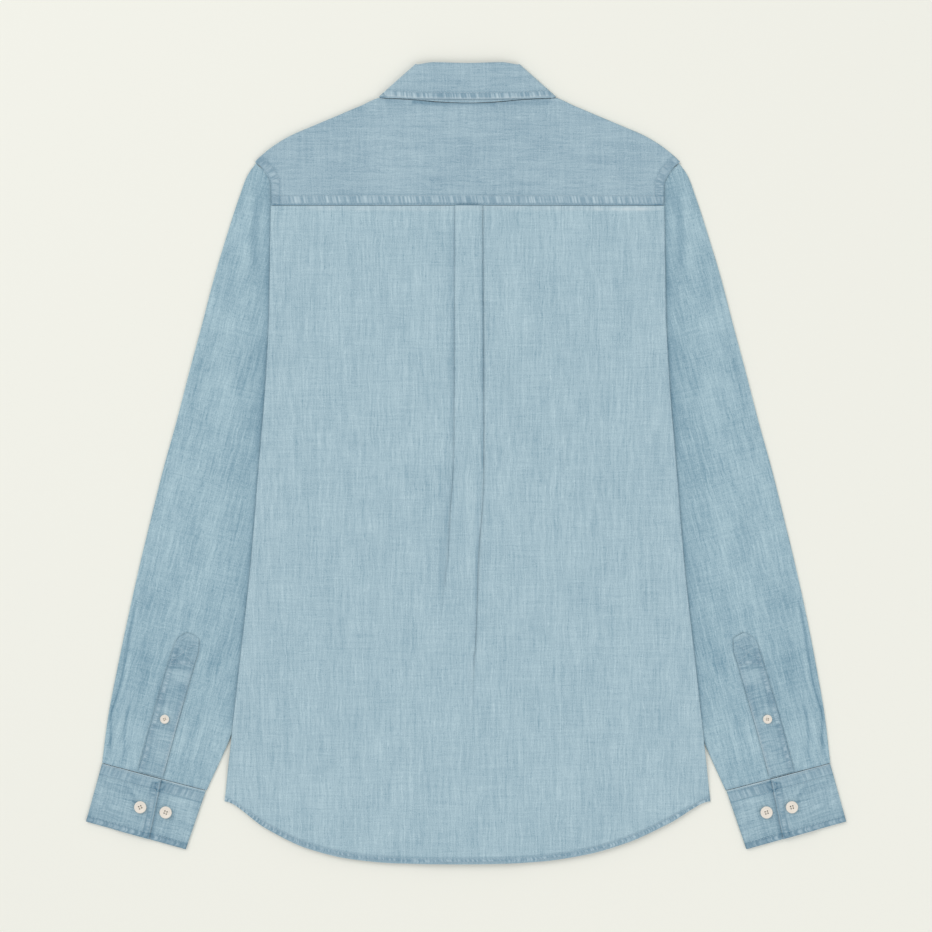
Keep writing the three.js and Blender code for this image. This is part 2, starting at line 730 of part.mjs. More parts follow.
// The stand's two ends lap at the centre front, the left one outside, which is below.
function collarStandPiece() {
  const levels = {
    outerEnd: [placketLevel, placketLevel, placketLevel, standLapEnds.outer],
    innerEnd: [placketLevel + pitch, placketLevel + pitch, placketLevel + pitch, standLapEnds.inner],
  };
  const generator = ({ x, y, standX, standY }) => [
    { x: standX, y: standY, high: standBackLevel.top, low: layer(1) },
    { x: (x + standX) / 2, y: (y + standY) / 2, high: standBackLevel.middle, low: layer(1) },
    { x, y, high: layer(3), low: layer(1) },
  ];
  const half = (ends) => {
    const front = neckline.map(generator);
    const ring = collarRing(front, generator(standFold), standBack.map(generator), (row) => ends[row]);
    return [...ring.front, ...ring.fold, ...ring.back];
  };
  const right = half(levels.innerEnd);
  const left = half(levels.outerEnd);
  return clothWall([...right, ...left.slice(0, -1).reverse().map(mirror)]);
}

// A sew-through button with four holes and a dished face, its underside at z 0.
function buttonGeometry({ radius, thick }) {
  const profile = [
    [0, 0],
    [radius * 0.8, 0],
    [radius, thick * 0.35],
    [radius, thick * 0.75],
    [radius * 0.88, thick],
    [radius * 0.7, thick * 0.95],
    [radius * 0.55, thick * 0.7],
    [0, thick * 0.7],
  ].map(([x, y]) => new THREE.Vector2(x, y));
  const disc = new THREE.LatheGeometry(profile, 20).rotateX(Math.PI / 2);
  const holeRadius = radius * 0.13;
  const holeReach = radius * 0.27;
  let solid = solidOf(disc);
  for (let i = 0; i < 4; i += 1) {
    const angle = Math.PI / 4 + (i * Math.PI) / 2;
    const hole = new THREE.CylinderGeometry(holeRadius, holeRadius, thick * 3, 6).rotateX(Math.PI / 2);
    hole.translate(holeReach * Math.cos(angle), holeReach * Math.sin(angle), 0);
    solid = solid.subtract(solidOf(hole));
  }
  const mesh = solid.getMesh();
  const geometry = new THREE.BufferGeometry();
  geometry.setAttribute('position', new THREE.BufferAttribute(mesh.vertProperties, 3));
  geometry.setIndex(new THREE.BufferAttribute(mesh.triVerts, 1));
  return geometry;
}

function solidOf(source) {
  const bare = source.clone();
  bare.deleteAttribute('normal');
  bare.deleteAttribute('uv');
  const merged = turnedOut(bare);
  return new wasm.Manifold(new wasm.Mesh({
    numProp: 3,
    vertProperties: merged.attributes.position.array,
    triVerts: merged.index.array,
  }));
}

const shirt = new THREE.Group();
shirt.position.x = bodyShift;

function addPiece(name, geometry, colour, parent = shirt) {
  const material = new THREE.MeshStandardMaterial({ color: colour, roughness: 0.9, metalness: 0 });
  const mesh = new THREE.Mesh(geometry, material);
  mesh.name = name;
  parent.add(mesh);
  return mesh;
}

const still = () => 0;
const withCuff = () => swing;
const withSleeve = (y) => swing * smoothstep(-y, swingStart, swingEnd);

// A mirrored or unmirrored copy of a right-hand geometry. lean says how far it swings at each y.
function sided(geometry, side, lean = still) {
  const copy = geometry.clone();
  const position = copy.attributes.position;
  for (let i = 0; i < position.count; i += 1) {
    position.setX(i, side * position.getX(i) + lean(position.getY(i)));
  }
  return turnedOut(copy);
}

addPiece('back', backPiece(), colours.body);
addPiece('yoke', yokePiece(), colours.yoke);
addPiece('front_right', frontPiece(1, placketLevel + pitch), colours.body);
addPiece('front_left', sided(frontPiece(-1, placketLevel), -1), colours.body);
addPiece('collar_leaf', collarLeafPiece(), colours.yoke);
addPiece('collar_stand', collarStandPiece(), colours.yoke);

const buttonSpots = [
  { name: 'cuff_button', kind: cuffButton, x: 325.2, y: -343.3, level: 3 * cuff.wall + 2 * gap },
  { name: 'cuff_spare_button', kind: cuffButton, x: 300, y: -348.7, level: 2 * cuff.wall + gap },
  { name: 'placket_button', kind: placketButton, x: 300.8, y: -255.4, level: null },
];

[{ name: 'left', sign: -1 }, { name: 'right', sign: 1 }].forEach(({ name, sign }) => {
  addPiece(`sleeve_${name}`, sided(sleevePiece(), sign, withSleeve), colours.sleeve);
  addPiece(`cuff_${name}`, sided(cuffPiece(), sign, withCuff), colours.cuff);
  addPiece(`placket_${name}`, sided(placketPiece(), sign, withCuff), colours.cuff);
  buttonSpots.forEach((spot) => {
    const button = addPiece(`${spot.name}_${name}`, buttonGeometry(spot.kind), colours.button);
    const level = spot.level ?? sleeveTopAt(spot.x, spot.y) + gap + wall;
    button.position.set(sign * spot.x + swing, spot.y, level + gap);
  });
});

for (let i = 0; i < frontButtonCount; i += 1) {
  const button = addPiece(`front_button_${i + 1}`, buttonGeometry(frontButton), colours.button);
  button.rotation.x = Math.PI;
  button.position.set(0, firstFrontButtonY - i * frontButtonStep, frontButton.thick);
}
const neckButton = addPiece('neck_button', buttonGeometry(frontButton), colours.button);
neckButton.rotation.x = Math.PI;
neckButton.position.set(0, neckButtonY, frontButton.thick);

export default shirt;
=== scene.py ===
import math
import bpy
import bmesh
import numpy as np
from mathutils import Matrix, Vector
from mathutils.bvhtree import BVHTree


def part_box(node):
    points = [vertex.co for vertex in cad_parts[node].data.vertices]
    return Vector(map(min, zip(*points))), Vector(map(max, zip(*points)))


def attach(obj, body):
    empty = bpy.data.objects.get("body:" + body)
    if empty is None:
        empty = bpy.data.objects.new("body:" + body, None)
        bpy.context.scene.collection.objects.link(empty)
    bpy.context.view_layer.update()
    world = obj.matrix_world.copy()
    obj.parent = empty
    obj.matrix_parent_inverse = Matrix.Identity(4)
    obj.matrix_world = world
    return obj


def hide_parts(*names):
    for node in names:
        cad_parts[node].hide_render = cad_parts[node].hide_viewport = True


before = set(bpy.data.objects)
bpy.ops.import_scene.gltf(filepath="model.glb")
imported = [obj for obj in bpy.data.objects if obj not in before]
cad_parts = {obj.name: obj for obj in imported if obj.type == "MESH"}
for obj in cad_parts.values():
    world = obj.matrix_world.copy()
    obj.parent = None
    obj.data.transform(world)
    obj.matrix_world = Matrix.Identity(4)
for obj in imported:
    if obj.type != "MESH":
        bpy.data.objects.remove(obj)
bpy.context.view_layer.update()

# Garment sizes are in millimetres, with x from the body's centre line. placed() takes them to the frame.
mm = 0.001

cloth = {
    "wall": 0.8,  # cloth thickness
    "pitch": 1.3,  # from one layer to the next
    "foldRadius": 0.65,  # middle line of a pressed fold
    "foldSteps": 3,
    "bodyShift": 2.0,  # the body sits a little to one side
    "swing": -1.4,  # of the cuffs against the body
    "swingStart": 120,  # how far down the sleeves begin to swing, and where they have swung fully
    "swingEnd": 330,
}

lights = {
    "key": {"place": (-2.3, 2.0, 3.2), "size": 2.6, "power": 56.0},
    "fill": {"place": (2.6, -1.9, 3.2), "size": 3.0, "power": 42.0},
    "sky": 0.67,
}

palette = {  # sRGB, 0 to 255
    "back": {"dark": (130, 162, 178), "light": (194, 217, 225)},
    "yoke": {"dark": (123, 154, 172), "light": (185, 208, 217)},
    "sleeve": {"dark": (119, 154, 172), "light": (184, 210, 219)},
    "cuff": {"dark": (111, 145, 164), "light": (174, 200, 210)},
    "seam": (116, 148, 167),
    "ridge": (188, 209, 218),
    "worn": (212, 225, 229),
    "thread": (178, 199, 208),
    "button": (238, 230, 218),
    "buttonThread": (214, 205, 190),
    "floor": (241, 241, 232),
}


def linear(colour):
    channels = [value / 255 for value in colour]
    curved = [c / 12.92 if c <= 0.04045 else ((c + 0.055) / 1.055) ** 2.4 for c in channels]
    return (*curved, 1.0)


def layer(count):
    return 0.5 + count * cloth["pitch"]


def ramp(value, low, high):
    share = np.clip((np.asarray(value, float) - low) / (high - low), 0, 1)
    return share * share * (3 - 2 * share)


def mix(a, b, share):
    return a + (b - a) * share


def eased(knots, values, at):  # a smooth curve through values, with no overshoot
    knots = np.asarray(knots, float)
    values = np.asarray(values, float)
    at = np.asarray(at, float)
    shape = (-1,) + (1,) * (values.ndim - 1)
    spans = np.diff(knots)
    rates = np.diff(values, axis=0) / spans.reshape(shape)
    slopes = np.zeros_like(values)
    slopes[0] = rates[0]
    slopes[-1] = rates[-1]
    if len(knots) > 2:
        before, after = rates[:-1], rates[1:]
        near = (2 * spans[1:] + spans[:-1]).reshape(shape)
        far = (spans[1:] + 2 * spans[:-1]).reshape(shape)
        same = before * after > 1e-12
        safeBefore = np.where(same, before, 1.0)
        safeAfter = np.where(same, after, 1.0)
        middle = (near + far) / (near / safeBefore + far / safeAfter)
        slopes[1:-1] = np.where(same, middle, 0.0)
    index = np.clip(np.searchsorted(knots, at, side="right") - 1, 0, len(spans) - 1)
    t = np.clip((at - knots[index]) / spans[index], 0, 1).reshape(shape)
    span = spans[index].reshape(shape)
    start = (1 + 2 * t) * (1 - t) ** 2 * values[index] + t * (1 - t) ** 2 * span * slopes[index]
    end = t * t * (3 - 2 * t) * values[index + 1] + t * t * (t - 1) * span * slopes[index + 1]
    return start + end


def through(table, at):  # table of (position, value)
    rows = sorted(table)
    curve = eased([row[0] for row in rows], [row[1] for row in rows], np.atleast_1d(at))
    return float(curve[0]) if np.ndim(at) == 0 else curve


def refine(grid, rowStep, columnStep):  # more points between those of a coarse grid
    grid = np.asarray(grid, float)
    for axis, step in ((0, rowStep), (1, columnStep)):
        lines = np.moveaxis(grid, axis, 0)
        spans = np.linalg.norm(np.diff(lines, axis=0), axis=2).mean(axis=1)
        spans = np.maximum(spans, 1e-3)
        steps = np.full(len(spans), step, float) if np.isscalar(step) else np.asarray(step, float)
        counts = np.maximum(1, np.round(spans / steps)).astype(int)
        knots = np.concatenate([[0.0], np.cumsum(spans)])
        stops = [np.linspace(knots[k], knots[k + 1], n, endpoint=False) for k, n in enumerate(counts)]
        at = np.concatenate([*stops, knots[-1:]])
        grid = np.moveaxis(eased(knots, lines, at), 0, axis)
    return grid


def nearest(line, x, y):  # distance from a plan line, and how far along it
    line = np.asarray(line, float)
    best = np.full(np.shape(x), 1e9)
    run = np.zeros(np.shape(x))
    done = 0.0
    for a, b in zip(line[:-1], line[1:]):
        way = b - a
        length = max(float(np.hypot(*way)), 1e-6)
        share = np.clip(((x - a[0]) * way[0] + (y - a[1]) * way[1]) / length**2, 0, 1)
        away = np.hypot(x - a[0] - share * way[0], y - a[1] - share * way[1])
        closer = away < best
        best = np.where(closer, away, best)
        run = np.where(closer, done + share * length, run)
        done += length
    return best, run, done


def mark(line, width, depth, taper=0.25):  # a soft line, tapered at the ends by a share of its length
    return {"line": line, "width": width, "depth": depth, "taper": taper}


def band(line, half, strength, slant=0.0, tint=0.04, rows=0.14):  # a puckered strip between stitch rows
    return {"line": line, "half": half, "strength": strength, "slant": slant, "tint": tint, "rows": rows}


def softLine(marks, x, y):
    total = np.zeros(np.shape(x))
    for soft in marks:
        away, run, length = nearest(soft["line"], x, y)
        taper = min(soft["taper"] * length, length / 2)
        ends = ramp(run, 0, taper) * (1 - ramp(run, length - taper, length)) if taper > 0 else 1.0
        total += soft["depth"] * np.exp(-((away / soft["width"]) ** 2)) * ends
    return total


def shifted(line, dx, dy):
    return [(x + dx, y + dy) for x, y in line]


stride = 2 * cloth["foldRadius"] * math.sin(math.pi / (2 * cloth["foldSteps"]))  # of a half turn


def foldWalk(x, z, heading, turn):  # points round a pressed fold in section
    steps = cloth["foldSteps"]
    points = []
    for i in range(steps):
        angle = heading + turn * (i + 0.5) / steps
        x += stride * math.cos(angle)
        z += stride * math.sin(angle)
        points.append((x, z))
    return points


garment = {
    "yokeSeamY": 257.5,
    "hemCornerY": -338,
    "underarmY": 58,
    "seamGap": 0.4,
    "lapWidth": 16,
    "boxDepth": 12,
    "sleeveCrown": 1.2,
    "tuckHeight": 0.8,
    "placketLevel": 3.3,
    "neckSide": (84, 365.6),
    "forwardSeamEnd": (190, 275),
    "hemLean": 3,  # the hem hangs lower on the left and higher on the right
}
sideFold = [(290, 196), (217, 197.4), (170, 197.9), (83, 201.8), (3, 208.3), (-55, 212.9), (-96, 216.3),
            (-193, 227), (-274, 236), (-338, 243)]  # y, x
armhole = [(301, 211.5), (287, 196), (250, 178), (203, 164), (143, 155), (58, 148)]  # y, x
turnUnder = [(58, 55.5), (-338, 3)]  # y, width
shoulder = [(84, 365.6), (101.5, 359.2), (130.5, 347.2), (159, 335.2), (185, 323.2), (197, 315)]  # x, y
hem = [(0, -400.3), (50, -399.7), (102, -395.5), (137, -388.5), (161, -381.3), (189, -368.8), (214, -355),
       (243, -338)]  # x, y
sideSeamRows = [58, 20, -20, -60, -106, -150, -193, -235, -290, -315, -338]


def foldX(y):
    return through(sideFold, y)


def armholeX(y):
    return through(armhole, y)


def hemY(x):
    share = np.clip(np.abs(x) / hem[-1][0], 0, 1)
    lean = np.sign(x) * garment["hemLean"] * np.sin(np.pi * share**2)
    return through(hem, np.abs(x)) + lean


def sideSeamX(y):
    if y > garment["underarmY"]:
        return armholeX(y)
    return foldX(y) - through(turnUnder, y)


def sideLevel(y):
    return mix(layer(0), layer(2), float(ramp(y, -330, -292)))


def backLevel(x, y):
    away = abs(x)
    overLap = float((1 - ramp(away, 30, 70)) * (1 - ramp(y, 320, 350)))
    atSide = float(ramp(away, foldX(y) - 60, foldX(y) - 5))
    raised = layer(3) + overLap * (garment["placketLevel"] + 2 * cloth["pitch"] - layer(3))
    return mix(raised, sideLevel(y) + cloth["pitch"], atSide)


def frontLevel(x, y, lapLevel):
    onLeaf = float((1 - ramp(x, 110, 140)) * ramp(y, 150, 205))
    base = mix(layer(0), layer(1), onLeaf)
    seam = sideSeamX(y)
    onSleeve = float(ramp(x, seam - 15, seam - 4) * (1 - ramp(y, 20, 50)))
    return mix(lapLevel, mix(base, sideLevel(y), onSleeve), float(ramp(x, 16, 46)))


def sleeveLevel(x, y, outerX):
    start = foldX(min(y, 270)) + 8
    share = min(max((x - start) / (outerX - start), 0), 1)
    return layer(1) + garment["sleeveCrown"] * math.sin(math.pi * share)


def placed(points, side=1, leans=None):  # garment millimetres to metres in the frame
    points = np.array(points, float)
    onSleeve = ramp(-points[..., 1], cloth["swingStart"], cloth["swingEnd"])
    shares = {None: 0.0, "cuff": 1.0, "sleeve": onSleeve}
    points[..., 0] = side * points[..., 0] + cloth["swing"] * shares[leans] + cloth["bodyShift"]
    return points * mm


def meshObject(name, vertices, faces, material, attributes=None):
    mesh = bpy.data.meshes.new(name)
    mesh.from_pydata([tuple(v) for v in vertices], [], [tuple(f) for f in faces])
    for key, values in (attributes or {}).items():
        kind = "FLOAT_VECTOR" if np.ndim(values) == 2 else "FLOAT"
        field = "vector" if kind == "FLOAT_VECTOR" else "value"
        layerOf = mesh.attributes.new(key, kind, "POINT")
        layerOf.data.foreach_set(field, np.asarray(values, np.float32).ravel())
    mesh.materials.append(material)
    tidy = bmesh.new()
    tidy.from_mesh(mesh)
    bmesh.ops.recalc_face_normals(tidy, faces=tidy.faces)
    tidy.to_mesh(mesh)
    tidy.free()
    mesh.polygons.foreach_set("use_smooth", [True] * len(mesh.polygons))
    mesh.set_sharp_from_angle(angle=math.radians(60))
    thing = bpy.data.objects.new(name, mesh)
    bpy.context.scene.collection.objects.link(thing)
    return thing


bandShape = {"fullness": 1.15, "margin": 0.3, "fade": 1.5, "rowWidth": 0.9}
puckerWaves = {"count": 4, "rate": 0.55, "rise": 0.33, "fade": 0.8}
seedStep = 37.0  # moves each piece to its own part of the weave


# creases move the cloth, the soft dark and light marks paint shade and highlight (and in places plain tone)
# into its colour, and wornLines bleach it. grain turns the weave, in degrees.
def clothPiece(name, grid, material, look, side=1, leans=None, wrapped=False, keep=None):
    rows, columns = grid.shape[:2]
    x, y = grid[..., 0], grid[..., 1]
    down = np.gradient(grid, axis=0)
    if wrapped:
        wide = np.concatenate([grid[:, -1:], grid, grid[:, :1]], axis=1)
        across = np.gradient(wide, axis=1)[:, 1:-1]
    else:
        across = np.gradient(grid, axis=1)
    normal = np.cross(down, across)
    size = np.linalg.norm(normal, axis=2, keepdims=True)
    normal = normal / np.maximum(size, 1e-9)
    upper = normal[..., 2:3] > 0
    facing = np.where(upper, normal, -normal)
    seamMask = np.zeros((rows, columns))
    seamRun = np.zeros((rows, columns))
    # painted shade and painted highlight along folds, creases and edges, with a few plain tone marks; the
    # seam strips below add their darker tone and stitch rows
    paintedLightAndTone = softLine(look.get("paintedLightAndToneMarks", []), x, y)
    for strip in look.get("bands", []):
        away, run, length = nearest(strip["line"], x, y)
        edge = strip["half"]
        inside = np.clip(bandShape["fullness"] * (1 - (away / (edge + bandShape["margin"])) ** 2), 0, 1)
        paintedLightAndTone -= strip["tint"] * (1 - ramp(away, edge, edge + bandShape["fade"]))
        paintedLightAndTone -= strip["rows"] * np.exp(-(((away - edge) / bandShape["rowWidth"]) ** 2))
        inside = inside * strip["strength"]
        stronger = inside > seamMask
        seamRun = np.where(stronger, run + strip["slant"] * away, seamRun)
        seamMask = np.maximum(seamMask, inside)
    lift = softLine(look.get("creases", []), x, y)
    worn = softLine(look.get("wornLines", []), x, y)
    rng = np.random.default_rng(look.get("seed", 1))
    waves = 0
    for k in range(puckerWaves["count"]):
        rate = puckerWaves["rate"] + puckerWaves["rise"] * k  # radians for each millimetre
        waves = waves + math.pow(puckerWaves["fade"], k) * np.sin(seamRun * rate + rng.uniform(0, 6.28))
    lift = lift + seamMask * look.get("puckerHeight", 0.12) * waves
    grid = grid + facing * lift[..., None]
    half = look.get("wall", cloth["wall"]) / 2
    grid[..., 2] = np.maximum(grid[..., 2], half + 0.05)
    layers = [grid + normal * half, grid - normal * half]
    vertices = np.concatenate([placed(points, side, leans).reshape(-1, 3) for points in layers])
    index = np.arange(rows * columns).reshape(rows, columns)
    if wrapped:
        index = np.concatenate([index, index[:, :1]], axis=1)
    quads = np.stack([index[:-1, :-1], index[:-1, 1:], index[1:, 1:], index[1:, :-1]], axis=-1)
    if keep is not None:
        quads = quads[keep]
    quads = quads.reshape(-1, 4)
    count = rows * columns
    edges = np.concatenate([quads[:, [k, (k + 1) % 4]] for k in range(4)])
    keys = np.sort(edges, axis=1)
    _, first, times = np.unique(keys, axis=0, return_index=True, return_counts=True)
    rim = edges[first[times == 1]]
    rimQuads = np.stack([rim[:, 0], rim[:, 0] + count, rim[:, 1] + count, rim[:, 1]], axis=-1)
    faces = np.concatenate([quads, quads[:, ::-1] + count, rimQuads])
    used = np.unique(faces)
    renumber = np.zeros(2 * count, int)
    renumber[used] = np.arange(len(used))
    turn = math.radians(look.get("grain", 0.0))
    alongX = x * math.cos(turn) + y * math.sin(turn)
    alongY = -x * math.sin(turn) + y * math.cos(turn)
    weave = np.stack([alongX, alongY, np.full_like(x, look.get("seed", 1) * seedStep)], axis=-1) * mm
    both = lambda values: np.concatenate([values.reshape(count, -1)] * 2)[used]
    attributes = {
        "weave": both(weave),
        "seamMask": both(seamMask).ravel(),
        "seamRun": both(seamRun * mm).ravel(),
        "paintedLightAndTone": both(paintedLightAndTone).ravel(),
        "worn": both(worn).ravel(),
    }
    return meshObject(f"{name}_cloth", vertices[used], renumber[faces], material, attributes)


def node(tree, kind, place, values=None, **settings):  # values are numbers, or outputs of other nodes
    made = tree.nodes.new(kind)
    made.location = place
    for key, value in settings.items():
        setattr(made, key, value)
    for key, value in (values or {}).items():
        if isinstance(value, bpy.types.NodeSocket):
            tree.links.new(value, made.inputs[key])
        else:
            made.inputs[key].default_value = value
    return made


def maths(tree, place, operation, *terms, kind="ShaderNodeMath", **settings):
    return node(tree, kind, place, dict(enumerate(terms)), operation=operation, **settings)


def vectors(tree, place, operation, *terms):
    return maths(tree, place, operation, *terms, kind="ShaderNodeVectorMath")


def openGroup(name, inputs, outputs):  # a node group with these sockets, and its two end nodes
    tree = bpy.data.node_groups.new(name, "ShaderNodeTree")
    for way, sockets in (("INPUT", inputs), ("OUTPUT", outputs)):
        for socket, kind in sockets.items():
            tree.interface.new_socket(socket, in_out=way, socket_type=f"NodeSocket{kind}")
    return tree, node(tree, "NodeGroupInput", (-900, 0)), node(tree, "NodeGroupOutput", (900, 0))


def chambrayGroup():  # slubby plain weave: a tone from 0 to 1, and a height
    inputs = {"Weave": "Vector", **{name: "Float" for name in ("Slub", "Cross", "Grain", "Patch", "Nubs")}}
    tree, enter, leave = openGroup("chambrayWeave", inputs, {"Tone": "Float", "Height": "Float"})
    link = tree.links.new
    strands = [
        {"scale": (620, 26, 1), "amount": "Slub", "gain": 1.0},
        {"scale": (1250, 60, 1), "amount": "Slub", "gain": 0.8},
        {"scale": (210, 9, 1), "amount": "Slub", "gain": 0.45},
        {"scale": (24, 640, 1), "amount": "Cross", "gain": 1.0},
        {"scale": (1150, 1150, 1), "amount": "Grain", "gain": 1.0},
        {"scale": (34, 20, 1), "amount": "Patch", "gain": 1.0},
        {"scale": (640, 150, 1), "amount": "Nubs", "gain": 1.0, "cut": 0.6, "reach": 0.0},
        {"scale": (600, 110, 2), "amount": "Nubs", "gain": 1.0, "cut": 0.62, "reach": 0.9},
        {"scale": (130, 650, 3), "amount": "Nubs", "gain": 0.7, "cut": 0.62, "reach": 0.1},
    ]
    sway = node(tree, "ShaderNodeTexNoise", (-1500, 0),
                {"Scale": 60.0, "Detail": 1.0, "Vector": enter.outputs["Weave"]})
    bent = vectors(tree, (-1300, 0), "MULTIPLY", sway.outputs["Color"], (0.0035, 0.0035, 0.0))
    wavy = vectors(tree, (-1100, 0), "ADD", enter.outputs["Weave"], bent.outputs[0])
    total = None
    for k, strand in enumerate(strands):
        y = 500 - 220 * k
        stretched = vectors(tree, (-700, y), "MULTIPLY", wavy.outputs[0], strand["scale"])
        noise = node(tree, "ShaderNodeTexNoise", (-500, y),
                     {"Scale": 1.0, "Detail": 1.5, "Roughness": 0.6, "Vector": stretched.outputs[0]})
        source = noise.outputs["Fac"]
        if "cut" in strand:  # only the peaks, as short nubs
            nubs = node(tree, "ShaderNodeMapRange", (-400, y),
                        {"From Min": strand["cut"], "From Max": strand["cut"] + 0.16, "To Min": 0.5,
                         "To Max": strand["reach"], "Value": source})
            source = nubs.outputs[0]
        centred = maths(tree, (-300, y), "SUBTRACT", source, 0.5)
        gained = maths(tree, (-150, y), "MULTIPLY", centred.outputs[0], strand["gain"])
        weighed = maths(tree, (0, y), "MULTIPLY", gained.outputs[0], enter.outputs[strand["amount"]])
        if total is not None:
            weighed = maths(tree, (200, y), "ADD", total.outputs[0], weighed.outputs[0])
        total = weighed
    tone = maths(tree, (420, 0), "ADD", total.outputs[0], 0.5, use_clamp=True)
    link(tone.outputs[0], leave.inputs["Tone"])
    threads = []
    for k, direction in enumerate(("X", "Y")):
        wave = node(tree, "ShaderNodeTexWave", (-300, -900 - 250 * k),
                    {"Scale": 330.0, "Distortion": 1.2,
                     "Vector": enter.outputs["Weave"]}, wave_type="BANDS", bands_direction=direction)
        threads.append(wave)
    both = maths(tree, (0, -1000), "MULTIPLY", threads[0].outputs["Fac"], threads[1].outputs["Fac"])
    fine = maths(tree, (200, -1000), "MULTIPLY", both.outputs[0], 0.35)
    height = maths(tree, (600, -300), "ADD", tone.outputs[0], fine.outputs[0])
    link(height.outputs[0], leave.inputs["Height"])
    return tree


def puckerGroup():  # washed ridges and hollows along a stitched seam
    inputs = {"Run": "Float", "Weave": "Vector", "Mask": "Float", "Pitch": "Float"}
    tree, enter, leave = openGroup("seamPucker", inputs, {"Ridge": "Float", "Height": "Float"})
    link = tree.links.new
    spread = vectors(tree, (-700, -200), "MULTIPLY", enter.outputs["Weave"], (90, 90, 1))
    scaled = maths(tree, (-700, 150), "MULTIPLY", enter.outputs["Run"], enter.outputs["Pitch"])
    along = node(tree, "ShaderNodeCombineXYZ", (-500, 150), {"X": scaled.outputs[0]})
    joined = vectors(tree, (-300, 100), "ADD", along.outputs[0], spread.outputs[0])
    noise = node(tree, "ShaderNodeTexNoise", (-100, 100),
                 {"Scale": 1.0, "Detail": 1.0, "Vector": joined.outputs[0]})
    sharp = node(tree, "ShaderNodeMapRange", (100, 100),
                 {"From Min": 0.4, "From Max": 0.7, "Value": noise.outputs["Fac"]})
    link(sharp.outputs[0], leave.inputs["Ridge"])
    masked = maths(tree, (350, -100), "MULTIPLY", sharp.outputs[0], enter.outputs["Mask"])
    link(masked.outputs[0], leave.inputs["Height"])
    return tree


weaveGroup = chambrayGroup()
seamGroup = puckerGroup()


def blended(tree, place, first, second, share, kind="MIX"):
    link = tree.links.new
    made = node(tree, "ShaderNodeMix", place, data_type="RGBA", blend_type=kind)
    for socket, value in (("A", first), ("B", second)):
        target = [s for s in made.inputs if s.name == socket and s.type == "RGBA"][0]
        if isinstance(value, tuple):
            target.default_value = value
        else:
            link(value, target)
    factor = [s for s in made.inputs if s.name == "Factor" and s.type == "VALUE"][0]
    if isinstance(share, float):
        factor.default_value = share
    else:
        link(share, factor)
    return [s for s in made.outputs if s.type == "RGBA"][0]


def chambray(name, tones, amounts, seamDepth=1.0):
    material = bpy.data.materials.new(name)
    material.use_nodes = True
    tree = material.node_tree
    link = tree.links.new
    surface = tree.nodes["Principled BSDF"]
    surface.inputs["Roughness"].default_value = 0.92
    surface.inputs["Specular IOR Level"].default_value = 0.22
    surface.inputs["Sheen Weight"].default_value = 0.12
    surface.inputs["Sheen Roughness"].default_value = 0.5
    fields = {}
    for k, key in enumerate(("weave", "seamMask", "seamRun", "paintedLightAndTone", "worn")):
        fields[key] = node(tree, "ShaderNodeAttribute", (-1500, 400 - 200 * k), attribute_name=key)
    weave = node(tree, "ShaderNodeGroup", (-1200, 300), {"Weave": fields["weave"].outputs["Vector"]},
                 node_tree=weaveGroup)
    for key, value in amounts.items():
        weave.inputs[key].default_value = value
    pucker = node(tree, "ShaderNodeGroup", (-1200, -100),
                  {"Run": fields["seamRun"].outputs["Fac"], "Weave": fields["weave"].outputs["Vector"],
                   "Mask": fields["seamMask"].outputs["Fac"]}, node_tree=seamGroup)
    pucker.inputs["Pitch"].default_value = 410.0
    cloths = blended(tree, (-900, 300), linear(tones["dark"]), linear(tones["light"]),
                     weave.outputs["Tone"])
    ridge = blended(tree, (-900, 0), linear(palette["seam"]), linear(palette["ridge"]),
                    pucker.outputs["Ridge"])
    deepened = maths(tree, (-900, -250), "MULTIPLY", fields["seamMask"].outputs["Fac"], seamDepth)
    seamed = blended(tree, (-650, 200), cloths, ridge, deepened.outputs[0])
    patchy = node(tree, "ShaderNodeMapRange", (-1100, -450),
                  {"To Min": 0.35, "To Max": 1.0, "Value": pucker.outputs["Ridge"]})
    wornShare = maths(tree, (-900, -450), "MULTIPLY", fields["worn"].outputs["Fac"], patchy.outputs[0],
                      use_clamp=True)
    bleached = blended(tree, (-450, 200), seamed, linear(palette["worn"]), wornShare.outputs[0])
    # the mesh's painted shade and highlight, with its seam and tone marks, multiply the cloth colour
    tint = node(tree, "ShaderNodeCombineColor", (-300, -200))
    for channel, gain in (("Red", 1.2), ("Green", 0.92), ("Blue", 0.74)):  # painted shade in folds and creases turns bluer as it darkens
        lit = maths(tree, (-450, -200), "MULTIPLY_ADD", fields["paintedLightAndTone"].outputs["Fac"], gain, 1.0)
        link(lit.outputs[0], tint.inputs[channel])
    shaded = blended(tree, (-200, 200), bleached, tint.outputs[0], 1.0, "MULTIPLY")
    link(shaded, surface.inputs["Base Color"])
    summed = maths(tree, (-450, -500), "ADD", weave.outputs["Height"], pucker.outputs["Height"])
    bump = node(tree, "ShaderNodeBump", (-200, -400),
                {"Strength": 0.5, "Distance": 0.0004, "Height": summed.outputs[0]})
    link(bump.outputs[0], surface.inputs["Normal"])
    return material


def plainMaterial(name, colour, roughness, spots=0.0):
    material = bpy.data.materials.new(name)
    material.use_nodes = True
    tree = material.node_tree
    link = tree.links.new
    surface = tree.nodes["Principled BSDF"]
    surface.inputs["Roughness"].default_value = roughness
    place = node(tree, "ShaderNodeTexCoord", (-900, 0))
    noise = node(tree, "ShaderNodeTexNoise", (-700, 0),
                 {"Scale": 420.0, "Detail": 3.0, "Vector": place.outputs["Object"]})
    darker = tuple(value * (1 - spots) for value in linear(colour)[:3]) + (1.0,)
    tone = blended(tree, (-400, 0), darker, linear(colour), noise.outputs["Fac"])
    link(tone, surface.inputs["Base Color"])
    bump = node(tree, "ShaderNodeBump", (-400, -300),
                {"Strength": 0.2, "Distance": 0.0002, "Height": noise.outputs["Fac"]})
    link(bump.outputs[0], surface.inputs["Normal"])
    return material


